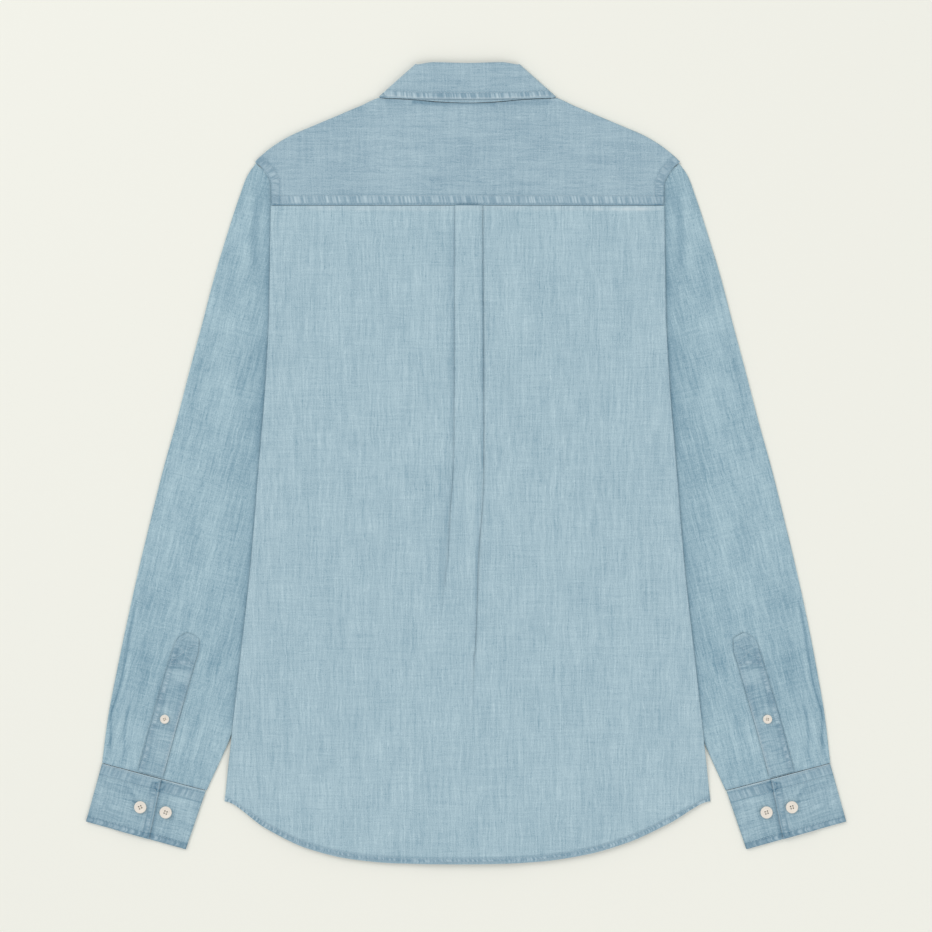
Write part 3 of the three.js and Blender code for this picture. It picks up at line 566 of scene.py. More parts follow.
weaves = {
    "back": {"Slub": 0.68, "Cross": 0.42, "Grain": 1.1, "Patch": 0.3, "Nubs": 0.5},
    "yoke": {"Slub": 0.5, "Cross": 0.5, "Grain": 1.05, "Patch": 0.4, "Nubs": 0.5},
    "sleeve": {"Slub": 0.75, "Cross": 0.4, "Grain": 1.1, "Patch": 0.7, "Nubs": 0.5},
    "cuff": {"Slub": 0.7, "Cross": 0.8, "Grain": 1.0, "Patch": 1.2, "Nubs": 0.6},
}
backCloth, yokeCloth, sleeveCloth, cuffCloth = (
    chambray(f"{name}Chambray", palette[name], amounts) for name, amounts in weaves.items()
)
threadMaterial = plainMaterial("sewingThread", palette["thread"], 0.8, 0.1)
buttonMaterial = plainMaterial("buttonResin", palette["button"], 0.42, 0.08)
buttonThreadMaterial = plainMaterial("buttonThread", palette["buttonThread"], 0.8, 0.15)
floorMaterial = plainMaterial("studioFloor", palette["floor"], 0.9)

pieces = {}


def finishCloth(piece, nodeName):
    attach(piece, "root")
    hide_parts(nodeName)
    pieces[nodeName] = piece


pleatTable = [  # y, box edges, how closed each side still is
    (257.5, 12.5, 14.9, 1.0, 1.0),
    (23, 13.5, 15.9, 0.8, 0.85),
    (-20, 16.5, 14.1, 0.6, 0.7),
    (-60, 19, 10.5, 0.35, 0.55),
    (-106, 25.5, 8.8, 0.1, 0.4),
    (-150, 30, 6.1, 0.0, 0.25),
    (-217, 32, 4.3, 0.0, 0.0),
    (-401, 32, 4.3, 0.0, 0.0),
]


def pleatAt(y, column):
    return through([(row[0], row[column]) for row in pleatTable], y)


def pleatWalk(edge, closed, boxLevel):
    turn = math.pi * min(1, closed * 3)
    depth = garment["boxDepth"] * max(0, (closed - 1 / 3) * 1.5) + 0.4
    x, z = edge - cloth["foldRadius"] - 0.5, boxLevel
    over = foldWalk(x, z, 0, -turn)
    backX = over[-1][0] + depth * math.cos(turn)
    backZ = over[-1][1] - depth * math.sin(turn)
    return [(x, z), *over, (backX, backZ), *foldWalk(backX, backZ, -turn, turn)]


def turnedEdge(y, level):
    x = foldX(y) - 0.5 - cloth["foldRadius"]
    fold = foldWalk(x, level, 0, -math.pi)
    seam = min(sideSeamX(y), fold[-1][0] - 0.6)
    return [(x, level), *fold, ((fold[-1][0] + seam) / 2, fold[-1][1]), (seam, fold[-1][1])]


def backGrid():
    top = garment["yokeSeamY"]
    rows = []
    for sideY in [top, 240, 203, 143, 100, *sideSeamRows[:-1], -328, -338]:
        share = (top - sideY) / (top - garment["hemCornerY"])

        def half(edge, closed):
            boxLevel = backLevel(0, sideY) - pleatWalk(0, closed, 0)[-1][1]
            side = turnedEdge(sideY, sideLevel(sideY) + cloth["pitch"])
            openXs = (36, 70, 115, 160, mix(160, side[0][0], 0.5))
            openRun = [(x, backLevel(x, sideY)) for x in openXs]
            flat = [(x, z, None) for x, z in pleatWalk(edge, closed, boxLevel) + openRun]
            return flat + [(x, z, sideY) for x, z in side]

        left = [(-x, z, y) for x, z, y in half(pleatAt(sideY, 1), pleatAt(sideY, 3))]
        right = half(pleatAt(sideY, 2), pleatAt(sideY, 4))
        middle = (0, (left[0][1] + right[0][1]) / 2, None)
        line = []
        for x, z, y in [*left[::-1], middle, *right]:
            if share == 0:
                y = top - garment["seamGap"]
            line.append((x, mix(top, hemY(x), share) if y is None else y, z))
        rows.append(line)
    return refine(rows, 3.0, 2.1)


hemLine = [(-242, -338), *((x, float(hemY(x))) for x in range(-201, 202, 15)), (242, -338)]
backLook = {
    "seed": 3,
    "bands": [
        band([(x, y + 2.9) for x, y in hemLine], 2.6, 0.85, slant=0.6, tint=0.03, rows=0.17),
    ],
    "puckerHeight": 0.14,
    "creases": [
        mark([(-13.5, 40), (-17, -30), (-25, -110), (-30, -190)], 5, -0.8),
        mark([(15, -60), (9, -130), (5, -215)], 4, -0.7),
        mark([(-30, -20), (-42, -120), (-46, -220)], 9, 0.6),
        mark([(28, 60), (26, -60), (20, -190)], 8, 0.5),
        mark([(-120, 240), (-128, 60), (-134, -150)], 16, 0.5),
        mark([(110, 240), (118, 40), (130, -200)], 18, 0.5),
        mark([(-178, 150), (-184, -40), (-196, -230)], 8, -0.5),
        mark([(180, 180), (186, 0), (200, -240)], 8, -0.5),
        mark([(-75, -180), (-82, -300), (-90, -370)], 12, 0.5),
        mark([(84, -200), (92, -300), (98, -372)], 12, 0.5),
    ],
    # painted shadow beside each pleat edge with a painted highlight next to it, and painted shade along a
    # crease
    "paintedLightAndToneMarks": [
        mark([(14.6, 255), (14.9, 100), (14.4, 0), (11, -60), (8.6, -110), (5.5, -200)], 1.4, -0.22, 0.2),
        mark([(17.6, 255), (17.9, 100), (17, 0), (14, -70), (11, -130)], 1.6, 0.08, 0.2),
        mark([(-14.6, 252), (-14.4, 100), (-15, 10)], 2.4, -0.15, 0.1),
        mark([(-11, 252), (-10.8, 100), (-11.5, 10)], 2.2, 0.07, 0.1),
        mark([(-15, 20), (-18.5, -40), (-24, -90), (-28, -150)], 4.5, -0.12),
    ],
    "wornLines": [
        mark([(-165, 255.4), (60, 255.6), (196, 254.4)], 1.4, 0.9, 0.03),
    ],
}
back = clothPiece("back", backGrid(), backCloth, backLook)
finishCloth(back, "back")
print("back", len(back.data.polygons))

yokeSide = [  # share, x, y, turn, aim, under
    (0, 194.85, 257.5, 1, 0, 8),
    (0.25, 194.85, 268, 0.75, -8, 0.6),
    (0.5, 194.6, 281, 0.25, -25, 0.6),
    (0.75, 202.3, 295.1, 0, -48, 0.6),
    (1, 209.4, 302, 0, -48, 0.6),
]
neckline = [  # x, y, and the top of the stand above it
    (-16, 287.5, -13, 306.5),
    (0, 285.5, 1.5, 308.5),
    (16, 287.5, 13.4, 320.1),
    (28, 293, 22.1, 332.8),
    (45, 307, 33.2, 351.9),
    (68, 340, 46.3, 376.1),
]
wrapAngles = (60, 30, 0, -30, -60, -90)


def shoulderWrap(top, outward, highLevel, lowLevel):
    radius = (highLevel - lowLevel) / 2
    points = []
    for degrees in wrapAngles:
        angle = math.radians(degrees)
        reach = radius * math.cos(angle)
        z = lowLevel + radius + radius * math.sin(angle)
        points.append((top[0] + outward[0] * reach, top[1] + outward[1] * reach, z))
    return points


def yokeGrid():
    shares = [row[0] for row in yokeSide]
    spots = [(0, 0), (14, 14), (30, 30), (58, 58), (84, 84), (106, 108), (134, 132), (158, 156), (177, 178),
             (188, 194)]  # x at the back seam and at the top
    neckColumns = 4
    flatEdge = cloth["foldSteps"] * stride + 0.6
    outward = (0.467, 0.884)
    neckX, neckY = garment["neckSide"]
    columns = []
    for index, (x, topX) in enumerate(spots):
        isNeck = index < neckColumns
        along = (topX - neckX) / (204 - neckX)
        topLevel = layer(3)
        lowLevel = frontLevel(topX, neckY, layer(0))
        radius = (topLevel - lowLevel) / 2
        topY = 359.5 + 7 * (topX / neckX) ** 2 if isNeck else through(shoulder, topX)
        if not isNeck:
            topX -= outward[0] * (radius + 0.5)
            topY -= outward[1] * (radius + 0.5)
        points = []
        for share in shares:
            y = mix(garment["yokeSeamY"], topY, share)
            px = mix(x, topX, share)
            level = topLevel if share == 1 else backLevel(px, max(y, garment["yokeSeamY"]))
            points.append((px, y, level))
        points += shoulderWrap((topX, topY), outward, topLevel, lowLevel)
        seamShare = max(0, along)
        endX = mix(neckline[-1][0] + 1.5, garment["forwardSeamEnd"][0] - flatEdge, seamShare)
        endY = mix(neckline[-1][1] - 0.8, garment["forwardSeamEnd"][1] + flatEdge * 0.53, seamShare)
        low = points[-1]
        points += [((low[0] + endX) / 2, (low[1] + endY) / 2, lowLevel), (endX, endY, lowLevel)]
        columns.append(points)
    edges = []
    for _, x, y, turn, aim, under in yokeSide:
        angle = turn * math.pi
        fold = foldWalk(0, 0, 0, -angle)
        end = (fold[-1][0] + under * math.cos(angle), fold[-1][1] - under * math.sin(angle))
        heading = math.radians(aim)
        section = [(0, 0), *fold, end]
        edges.append([(x + p * math.cos(heading), y + p * math.sin(heading), layer(2) + z - end[1])
                      for p, z in section])
    count = len(edges[0])
    for k in range(count):
        points = [row[k] for row in edges]
        points += shoulderWrap(points[-1][:2], (0.8, 0.6), points[-1][2], layer(0))
        inset = flatEdge * (1 - k / (count - 1)) + garment["seamGap"]
        points.append((armhole[1][1] - inset * 0.8, armhole[1][0] + inset * 0.5, layer(0)))
        endX, endY = garment["forwardSeamEnd"]
        points.append((endX - inset, endY + inset * 0.53, layer(0)))
        columns.append(points)
    mirrored = [[(-x, y, z) for x, y, z in column] for column in columns[:0:-1]]
    coarse = np.array(mirrored + columns)
    columnStep = [1.3] + [2.4] * (coarse.shape[1] - 2)
    fine = refine(coarse, 1.7, columnStep)
    firstRows = refine(coarse[:, :5], 1.7, columnStep[:4]).shape[1]
    neckX0 = columns[neckColumns][0][0]
    keep = np.ones((fine.shape[0] - 1, fine.shape[1] - 1), bool)
    seamX = np.abs(fine[:, 0, 0])
    inNeck = (seamX[:-1] <= neckX0) & (seamX[1:] <= neckX0)
    keep[:, firstRows - 1:] = ~inNeck[:, None]
    return fine, keep


yokeLook = {
    "seed": 5,
    "grain": 90,
    "bands": [
        band([(-197, 262.4), (-140, 263.6), (60, 263.2), (197, 262.6)], 4.5, 0.62, tint=-0.05, rows=0.18),
        band([(191.5, 259), (191.5, 281), (196, 291.5), (206, 302)], 4.2, 0.5, tint=0.06, rows=0.16),
        band([(-191.5, 259), (-191.5, 281), (-196, 291.5), (-206, 302)], 4.2, 0.5, tint=0.06, rows=0.16),
        band([(-53, 361), (-20, 359.8), (26, 359.6)], 1.5, 0.5, tint=0.12, rows=0.1),
    ],
    "puckerHeight": 0.16,
    "creases": [
        mark([(-150, 300), (-90, 318), (-30, 322)], 10, 0.4),
        mark([(40, 318), (100, 312), (160, 290)], 9, 0.4),
        mark([(-120, 282), (-60, 286), (0, 284)], 6, -0.3),
    ],
    # painted shadow along the yoke's lower edge and under the collar, and faint painted shade and highlight
    # across the yoke
    "paintedLightAndToneMarks": [
        mark([(-196, 258.4), (196, 258.4)], 0.9, -0.3, 0.01),
        mark([(-84, 362), (-60, 360.5), (0, 360), (60, 360.5), (84, 362)], 3, -0.2, 0.02),
        mark([(-12, 258), (12, 258)], 5, -0.12),
        mark([(-150, 272), (-100, 269.5), (-40, 270)], 2.0, -0.05),
        mark([(-178, 266), (-170, 300), (-150, 325)], 9, -0.04),
        mark([(60, 330), (110, 318), (150, 300)], 8, 0.03),
    ],
}
yokePoints, yokeKeep = yokeGrid()
yoke = clothPiece("yoke", yokePoints, yokeCloth, yokeLook, keep=yokeKeep)
finishCloth(yoke, "yoke")
print("yoke", len(yoke.data.polygons))

def frontGrid(side, lapLevel):
    endX, top = garment["forwardSeamEnd"]
    corner = neckline[-1]
    gap = garment["seamGap"]

    def topY(x):
        if x <= corner[0]:
            return through([(row[0], row[1]) for row in neckline], x) - gap
        return mix(corner[1], top, (x - corner[0]) / (endX - gap - corner[0])) - gap

    rows = []
    firstEdge = sideSeamX(top) - gap
    for sideY in [top, 250, 203, 143, *sideSeamRows]:
        share = (top - sideY) / (top - garment["hemCornerY"])
        edge = sideSeamX(sideY) - gap
        spots = [(x, x, False) for x in (-garment["lapWidth"], 0, 16, 28, 45)]
        spots += [(mix(45, edge, (x - 45) / (firstEdge - 45)), x, False) for x in (68, 92, 130)]
        spots += [(edge - inset, firstEdge - inset, True) for inset in (14, 4, 0)]
        line = []
        for x, topX, isSide in spots:
            end = garment["hemCornerY"] if isSide else hemY(side * x) + 2.5
            y = mix(topY(topX), end, share)
            line.append((x, y, frontLevel(x, y, lapLevel)))
        rows.append(line)
    return refine(rows, 4.5, 4.0)


frontLook = {
    "seed": 7,
    "bands": [
        band([(x, y + 5.4) for x, y in hem], 2.4, 0.6, slant=0.6, tint=0.08),
        band([(-13, 287), (-13, -398)], 2.4, 0.5),
        band([(14, 287), (14, -398)], 2.0, 0.5),
    ],
    "creases": [
        mark([(60, 200), (75, 0), (80, -250)], 14, 0.4),
        mark([(120, 180), (130, -60), (140, -300)], 12, -0.3),
    ],
}
placketLevel = garment["placketLevel"]
for side, name, level, seed in ((1, "right", placketLevel + cloth["pitch"], 7),
                                (-1, "left", placketLevel, 9)):
    front = clothPiece(f"front_{name}", frontGrid(side, level), backCloth, {**frontLook, "seed": seed},
                       side=side)
    finishCloth(front, f"front_{name}")
print("fronts")

sleeveRings = [  # outer end, inner end, and how far the ring follows the armhole's curve
    (210.8, 300.2, 148.2, 58.1, 1),
    (219.6, 287.5, 149.7, 56.1, 0.9),
    (227, 268, 152, 53, 0.75),
    (238.5, 233, 154, 46, 0.5),
    (250.5, 193, 156, 37, 0.25),
    (263.5, 143, 158, 22, 0.1),
    (277, 93, 161.5, 2, 0),
    (290, 43, 166, -28, 0),
    (304, -7, 172.5, -62, 0),
    (316.5, -57, 181, -100, 0),
    (328.5, -107, 192, -142, 0),
    (339.5, -157, 205, -186, 0),
    (349.5, -207, 220, -234, 0),
    (358, -254, 238, -279, 0),
    (363.6, -299.5, 259.6, -326.8, 0),
]


def sleeveRing(ring, shares):
    outerX, outerY, innerX, innerY, bow = ring
    outer, inner = np.array([outerX, outerY], float), np.array([innerX, innerY], float)
    along = (inner - outer) / np.linalg.norm(inner - outer)
    first, last = armhole[0], armhole[-1]
    middle = layer(0) + cloth["foldRadius"]

    def plan(share):
        y = mix(first[0], last[0], share)
        bend = (armholeX(y) - mix(first[1], last[1], share)) * bow
        return mix(outerX, innerX, share) + bend, mix(outerY, innerY, share)

    def arc(end, direction):
        points = []
        for degrees in (-30, 30):
            angle = math.radians(degrees * direction)
            reach = cloth["foldRadius"] * (math.cos(angle) - 1)
            x, y = end - direction * reach * along
            points.append((x, y, middle + direction * cloth["foldRadius"] * math.sin(angle)))
        return points

    tuck = float(ramp(-outerY, 150, 290)) * garment["tuckHeight"]
    upper, lower = [], []
    for k, share in enumerate(shares):
        x, y = plan(share)
        onTuck = tuck if 0.08 < share < 0.12 else 0
        ends = min(1, min(share, 1 - share) * 12)
        level = sleeveLevel(x, y, outerX)
        if k == 0 or k == len(shares) - 1:
            inset = cloth["foldRadius"] * (1 if k == 0 else -1)
            x, y = x + along[0] * inset, y + along[1] * inset
        upper.append((x, y, mix(layer(1), level + onTuck, ends)))
        lower.append((x, y, layer(0)))
    return [*lower[::-1], *arc(outer, 1), *upper, *arc(inner, -1)[::-1]]


def sleeveGrid():
    first, last = armhole[0][0], armhole[-1][0]
    shares = [(first - y) / (first - last) for y, _ in armhole]
    shares[2:2] = [0.1, 0.145]
    shares.insert(len(shares) - 1, 0.85)
    rows = [sleeveRing(ring, shares) for ring in sleeveRings]
    closed = [row + row[:1] for row in rows]
    return refine(closed, 3.0, 2.2)[:, :-1]


cuffTop = [(364, -300), (259.9, -327.3)]
sleeveLook = {
    "seed": 11,
    "grain": 14,
    "bands": [
        band(cuffTop, 1.6, 0.35, rows=0.0),
    ],
    "creases": [
        mark([(208, 292), (214, 270), (226, 238)], 4, -0.6),
        mark([(206, 280), (208, 240), (210, 190)], 4, -0.5),
        mark([(235, 220), (262, 110), (292, -20)], 10, 0.9),
        mark([(250, 60), (272, -60), (300, -190)], 11, 0.7),
        mark([(300, -60), (322, -150), (338, -240)], 7, -0.7),
        mark([(240, -90), (252, -180), (262, -300)], 8, 0.7),
        mark([(332, -140), (339.8, -185), (344.5, -221), (354.5, -251), (356, -298)], 1.7, -0.6, 0.2),
        mark([(338, -245), (341, -270), (341.5, -297)], 2.0, -0.6),
        mark([(348, -240), (349, -302)], 3.0, 0.6),
        mark([(330, -262), (332, -306)], 3.0, 0.6),
        mark([(270, -290), (276, -322)], 3, -0.5),
        mark([(284, -290), (288, -318)], 3, 0.5),
    ],
    # painted shadow along the inner edge where the body's fold lies over the sleeve, and painted shade and
    # highlight along the creases near the shoulder and the placket
    "paintedLightAndToneMarks": [
        mark([(200, 292), (198.5, 240), (199, 170), (203, 80), (209, 0), (218, -100), (229, -200),
              (238, -275)], 4.2, -0.15, 0.04),
        mark([(205, 292), (204, 240), (206, 170), (212, 60), (222, -60), (236, -200)], 12, -0.07, 0.05),
        mark([(330, -130), (339.8, -185), (346, -221), (355, -249), (356, -299)], 1.1, -0.38, 0.15),
        mark([(333, -170), (341, -212), (350, -246), (352, -266)], 1.8, 0.12),
        mark([(359.5, -252), (361.5, -299)], 2.0, 0.1),
        mark([(338, -240), (341.5, -268), (342, -298)], 1.1, -0.32),
        mark([(346.5, -256), (348.5, -300)], 2.4, 0.1),
        mark([(331, -285), (330.5, -306)], 1.4, 0.16),
        mark([(349, -301), (332, -306)], 1.2, 0.18),
        mark([(262, -318), (268, -303)], 1.4, -0.12),
        mark([(272, -322), (275, -300)], 1.6, 0.08),
        mark([(298, -314), (298, -296)], 1.4, 0.08),
        mark([(322, -120), (331, -165), (337, -205)], 1.3, -0.1),
        mark([(318, -180), (327, -228), (334, -268)], 3.5, -0.07),
        mark([(294, -176), (300, -205), (313, -245), (324, -285)], 4, -0.06),
        mark([(264, -200), (276, -250), (292, -300)], 7, 0.04),
        mark([(206, 290), (211, 262), (213, 222), (213, 180)], 3.4, -0.16),
        mark([(213, 294), (223, 268), (228, 240)], 3.0, -0.1),
        mark([(219, 276), (223, 240), (222, 190)], 3.4, 0.06),
    ],
}
for side, name, seed in ((1, "right", 11), (-1, "left", 13)):
    sleeve = clothPiece(f"sleeve_{name}", sleeveGrid(), sleeveCloth, {**sleeveLook, "seed": seed}, side,
                        "sleeve", True)
    finishCloth(sleeve, f"sleeve_{name}")
print("sleeves")

cuff = {
    "outerTop": (364, -300), "innerTop": (259.9, -327.3), "outerBottom": (380.1, -357.8),
    "innerBottom": (279.9, -385.7), "lapAtTop": 0.57, "lapAtBottom": 0.63, "underlap": 26, "wall": 1.3,
}


def cuffGrid():
    pitch = cuff["wall"] + 0.3
    low = cuff["wall"] / 2
    radius = pitch / 2
    upper = low + pitch
    bend = radius + cuff["wall"] / 2
    rows = []
    for share in (0, 0.2, 0.5, 0.85, 1):
        outer = mix(np.array(cuff["outerTop"], float), np.array(cuff["outerBottom"], float), share)
        inner = mix(np.array(cuff["innerTop"], float), np.array(cuff["innerBottom"], float), share)
        across = inner - outer
        width = float(np.linalg.norm(across))
        across = across / width
        lap = mix(cuff["lapAtTop"], cuff["lapAtBottom"], share) * width
        hidden = lap - cuff["underlap"]
        section = [
            (hidden, upper), (lap - 8, upper), (lap + 12, upper), (width - bend, upper),
            (width - bend + radius * 0.87, low + radius * 1.5), (width - bend + radius * 0.87,
                                                                 low + radius * 0.5),
            (width - bend, low), (width / 2, low), (bend, low), (bend - radius * 0.87, low + radius * 0.5),
            (bend - radius * 0.87, low + radius * 1.5), (bend, upper), (hidden - 14, upper),
            (hidden - 3, upper + pitch), (lap - 12, upper + pitch), (lap, upper + pitch),
        ]
        rows.append([(*(outer + across * distance), z) for distance, z in section])
    return refine(rows, 1.2, 1.3)


def cuffPoint(across, down):  # share across from the outer fold, share down from the top
    top = mix(np.array(cuff["outerTop"], float), np.array(cuff["innerTop"], float), across)
    bottom = mix(np.array(cuff["outerBottom"], float), np.array(cuff["innerBottom"], float), across)
    return tuple(mix(top, bottom, down))


def cuffLine(*spots):
    return [cuffPoint(*spot) for spot in spots]


cuffLook = {
    "seed": 17,
    "grain": -75,
    "wall": 1.1,
    "bands": [
        band(cuffLine((0.0, 0.1), (0.57, 0.1)), 5.2, 0.3, rows=0.2),
        band(cuffLine((0.58, 0.12), (1, 0.12)), 5.0, 0.5, rows=0.26, tint=0.07),
        band(cuffLine((0, 0.955), (1, 0.955)), 2.8, 0.7, slant=0.7, rows=0.26, tint=0.1),
        band(cuffLine((0.53, 0.12), (0.59, 0.93)), 2.8, 0.55, rows=0.26),
    ],
    "puckerHeight": 0.12,
    "creases": [
        mark(cuffLine((0.2, 0.35), (0.42, 0.5)), 3, -0.4),
        mark(cuffLine((0.15, 0.7), (0.4, 0.62)), 4, 0.4),
        mark(cuffLine((0.7, 0.5), (0.95, 0.6)), 4, -0.3),
    ],
    # painted shadow beside the lap's edge, painted shade at the rounded sides, and painted shade and
    # highlight along creases and in patches
    "paintedLightAndToneMarks": [
        mark(cuffLine((0.585, 0.02), (0.645, 0.98)), 1.4, -0.3, 0.02),
        mark(cuffLine((0.24, 0.24), (0.36, 0.36), (0.42, 0.5)), 2.0, -0.16),
        mark(cuffLine((0.3, 0.22), (0.44, 0.4)), 1.6, 0.1),
        mark(cuffLine((0.08, 0.55), (0.2, 0.7), (0.4, 0.74)), 4.0, -0.1),
        mark(cuffLine((0.1, 0.86), (0.3, 0.82), (0.46, 0.88)), 2.0, -0.09),
        mark(cuffLine((0.06, 0.35), (0.12, 0.8)), 3.0, 0.07),
        mark(cuffLine((0.7, 0.3), (0.9, 0.26)), 2.4, 0.08),
        mark(cuffLine((0.78, 0.66), (0.94, 0.6)), 4.0, -0.08),
        mark(cuffLine((0.0, 0.02), (0.0, 0.98)), 2.0, -0.1, 0.05),
        mark(cuffLine((1.0, 0.02), (1.0, 0.98)), 2.0, -0.1, 0.05),
        mark(cuffLine((0.36, 0.47), (0.5, 0.49)), 1.3, -0.3, 0.1),
    ],
    "wornLines": [
        mark(cuffLine((0.57, 0), (0.63, 1)), 1.1, 0.45, 0.02),
        mark(cuffLine((0, 0), (1, 0)), 1.2, 0.9, 0.02),
        mark(cuffLine((0.5, 0.2), (0.55, 0.9)), 0.9, 0.3, 0.1),
    ],
}
for side, name, seed in ((1, "right", 17), (-1, "left", 19)):
    wrap = clothPiece(f"cuff_{name}", cuffGrid(), cuffCloth, {**cuffLook, "seed": seed}, side, "cuff")
    finishCloth(wrap, f"cuff_{name}")
print("cuffs")

placketRows = [
    (276, -169.5, 279.5, -169.5), (267, -176, 288.5, -176), (267.5, -187, 293, -187.5),
    (272, -202.3, 297.2, -201), (280.7, -233, 308, -237), (292, -273, 319, -276), (303, -313.6, 327.5,
                                                                                   -307.3),
]


def sleeveTopAt(x, y):
    outerX = through([(ring[1], ring[0]) for ring in sleeveRings], y)
    return sleeveLevel(x, y, outerX + 6) + 0.85


def placketGrid():
    rows = []
    for innerX, innerY, outerX, outerY in placketRows:
        line = []
        for share in (0, 1 / 3, 2 / 3, 1):
            x, y = mix(innerX, outerX, share), mix(innerY, outerY, share)
            line.append((x, y, sleeveTopAt(x, y) + 0.8))
        rows.append(line)
    return refine(rows, 1.2, 1.2)


placketLeft = [(276, -169.5), (267, -176), (267.5, -187), (272, -202.3), (280.7, -233), (292, -273),
               (303, -313.6)]
placketRight = [(279.5, -169.5), (288.5, -176), (293, -187.5), (297.2, -201), (308, -237), (319, -276),
                (327.5, -307.3)]
placketLook = {
    "seed": 23,
    "grain": -76,
    "bands": [
        band(shifted(placketRight[2:], -3, 0), 2.6, 0.5, tint=0.02, rows=0.14),
        band(shifted(placketLeft[3:], 2.5, 0), 1.8, 0.3, tint=0.0, rows=0.05),
        band([(274, -199), (296, -198)], 1.8, 0.6, rows=0.12),
    ],
    # painted shade and highlight along the wrinkles, under the box's lower edge and along the outer edge;
    # the first two marks only darken the box top and lighten the strip
    "paintedLightAndToneMarks": [
        mark([(279, -176), (283, -196)], 9, -0.1, 0.05),
        mark([(285, -206), (300, -255), (315, -308)], 12, 0.09, 0.05),
        mark([(288, -216), (298, -214)], 1.6, -0.1),
        mark([(286, -226), (301, -222)], 1.4, 0.1),
        mark([(291, -240), (306, -237)], 1.8, -0.1),
        mark([(304, -264), (314, -262)], 1.6, -0.1),
        mark([(306, -285), (320, -281)], 1.5, 0.1),
        mark([(272, -205), (297.2, -203.5)], 1.4, -0.2, 0.02),
        mark([(270, -182), (276, -186), (284, -184)], 1.1, -0.16),
        mark([(271, -192), (279, -190), (289, -195)], 1.2, -0.16),
        mark([(281, -179), (287, -184), (291, -192)], 1.0, -0.14),
        mark([(275, -198), (281, -193), (284, -187)], 1.0, -0.14),
        mark([(273, -178), (278, -173.5), (285, -178)], 0.9, -0.14),
        mark([(276, -180), (280, -187), (279, -197)], 0.9, 0.1),
        mark([(285, -180), (284, -190), (288, -199)], 0.9, 0.1),
        mark(shifted(placketRight[3:], 1.2, 0), 1.5, -0.12, 0.02),
    ],
    "wornLines": [mark(placketLeft[4:], 0.8, 0.7, 0.1)],
}
for side, name, seed in ((1, "right", 23), (-1, "left", 29)):
    strip = clothPiece(f"placket_{name}", placketGrid(), cuffCloth, {**placketLook, "seed": seed}, side,
                       "cuff")
    finishCloth(strip, f"placket_{name}")
print("plackets")

leafFront = [(3, 313, 56, 250), (11, 322, 62, 271), (19.5, 334.5, 69, 297), (30.5, 353.5, 76, 321),
             (43.5, 377.5, 83, 346)]  # roll line, outer edge
leafFold = (52, 399, 88.5, 366.5)
leafBack = [(34, 399.8, 52, 364), (0, 399, 0, 363.3)]


def collarRing(front, fold, back, frontLevels=None):
    rows = []
    for k, generator in enumerate(front):
        levels = (frontLevels or {}).get(k)
        rows.append([(x, y, levels[i] if levels else low) for i, (x, y, _, low) in enumerate(generator)])
    runX, runY = fold[0][0] - fold[-1][0], fold[0][1] - fold[-1][1]
    size = math.hypot(runX, runY)
    outward = (runY / size, -runX / size)
    if outward[0] < 0:
        outward = (-outward[0], -outward[1])
    for degrees in (-60, -20, 20, 60):
        line = []
        for x, y, high, low in fold:
            radius = (high - low) / 2
            angle = math.radians(degrees)
            reach = radius * math.cos(angle) - radius - 0.5
            z = (high + low) / 2 + radius * math.sin(angle)
            line.append((x + outward[0] * reach, y + outward[1] * reach, z))
        rows.append(line)
    for generator in back:
        rows.append([(x, y, high) for x, y, high, _ in generator])
    return rows


def leafGenerator(spot):
    rollX, rollY, edgeX, edgeY = spot
    runX, runY = edgeX - rollX, edgeY - rollY
    inset = 2.2 / math.hypot(runX, runY)
    levels = [(inset, 6.1, layer(1)), (0, 6.75, layer(0.5)), (inset, 7.4, layer(0)), (0.5, 6.75, layer(0)),
              (1, 5.9, layer(0))]
    return [(rollX + runX * share, rollY + runY * share, high, low) for share, high, low in levels]


def leafGrid():
    half = collarRing([leafGenerator(s) for s in leafFront], leafGenerator(leafFold),
                      [leafGenerator(s) for s in leafBack])
    other = [[(-x, y, z) for x, y, z in row] for row in half[-2::-1]]
    return refine(half + other, 1.5, [1.0, 1.0, 1.4, 1.2])


def standGrid():
    def generator(spot):
        x, y, standX, standY = spot
        return [(standX, standY, 6.1, layer(1)), ((x + standX) / 2, (y + standY) / 2, 5.25, layer(1)),
                (x, y, layer(3), layer(1))]

    def half(end, second):
        levels = {0: (end, end, end), 1: (second, second, second)}
        return collarRing([generator(s) for s in neckline], generator((83.5, 367.6, 54, 393.7)),
                          [generator((52, 363, 34, 395.6)), generator((0, 360, 0, 395))], levels)

    right = half(placketLevel + cloth["pitch"], 3.1)
    left = half(placketLevel, 2.5)
    return refine(right + [[(-x, y, z) for x, y, z in row] for row in left[-2::-1]], 2.4, 2.0)


leafEdge = [(56, 250), (62, 271), (69, 297), (76, 321), (83, 346), (88.5, 366.5)]
leafBackEdge = [(-88.5, 366.5), (-52, 364), (0, 363.3), (52, 364), (88.5, 366.5)]
leafLook = {
    "seed": 31,
    "grain": 90,
    "bands": [
        band(shifted(leafBackEdge, 0, 3.3), 3.0, 0.7, tint=-0.03, rows=0.2),
        band(shifted(leafEdge, -3, 1.5), 2.6, 0.7),
        band([(-x, y) for x, y in shifted(leafEdge, -3, 1.5)], 2.6, 0.7),
    ],
    "puckerHeight": 0.12,
    "creases": [
        mark([(-60, 385), (-20, 380), (30, 384)], 6, 0.3),
        mark([(-40, 372), (10, 374), (60, 372)], 4, -0.25),
    ],
    # painted shadow under the collar's edge and painted shade along its rolled fold
    "paintedLightAndToneMarks": [
        mark([(-80, 364), (-52, 362), (0, 361.5), (52, 362), (80, 364)], 1.0, -0.2),
        mark([(-54, 400), (0, 399.5), (54, 400)], 2.0, -0.12, 0.05),
    ],
    "wornLines": [mark(shifted(leafBackEdge, 0, 0.8), 0.9, 0.7, 0.05)],
}
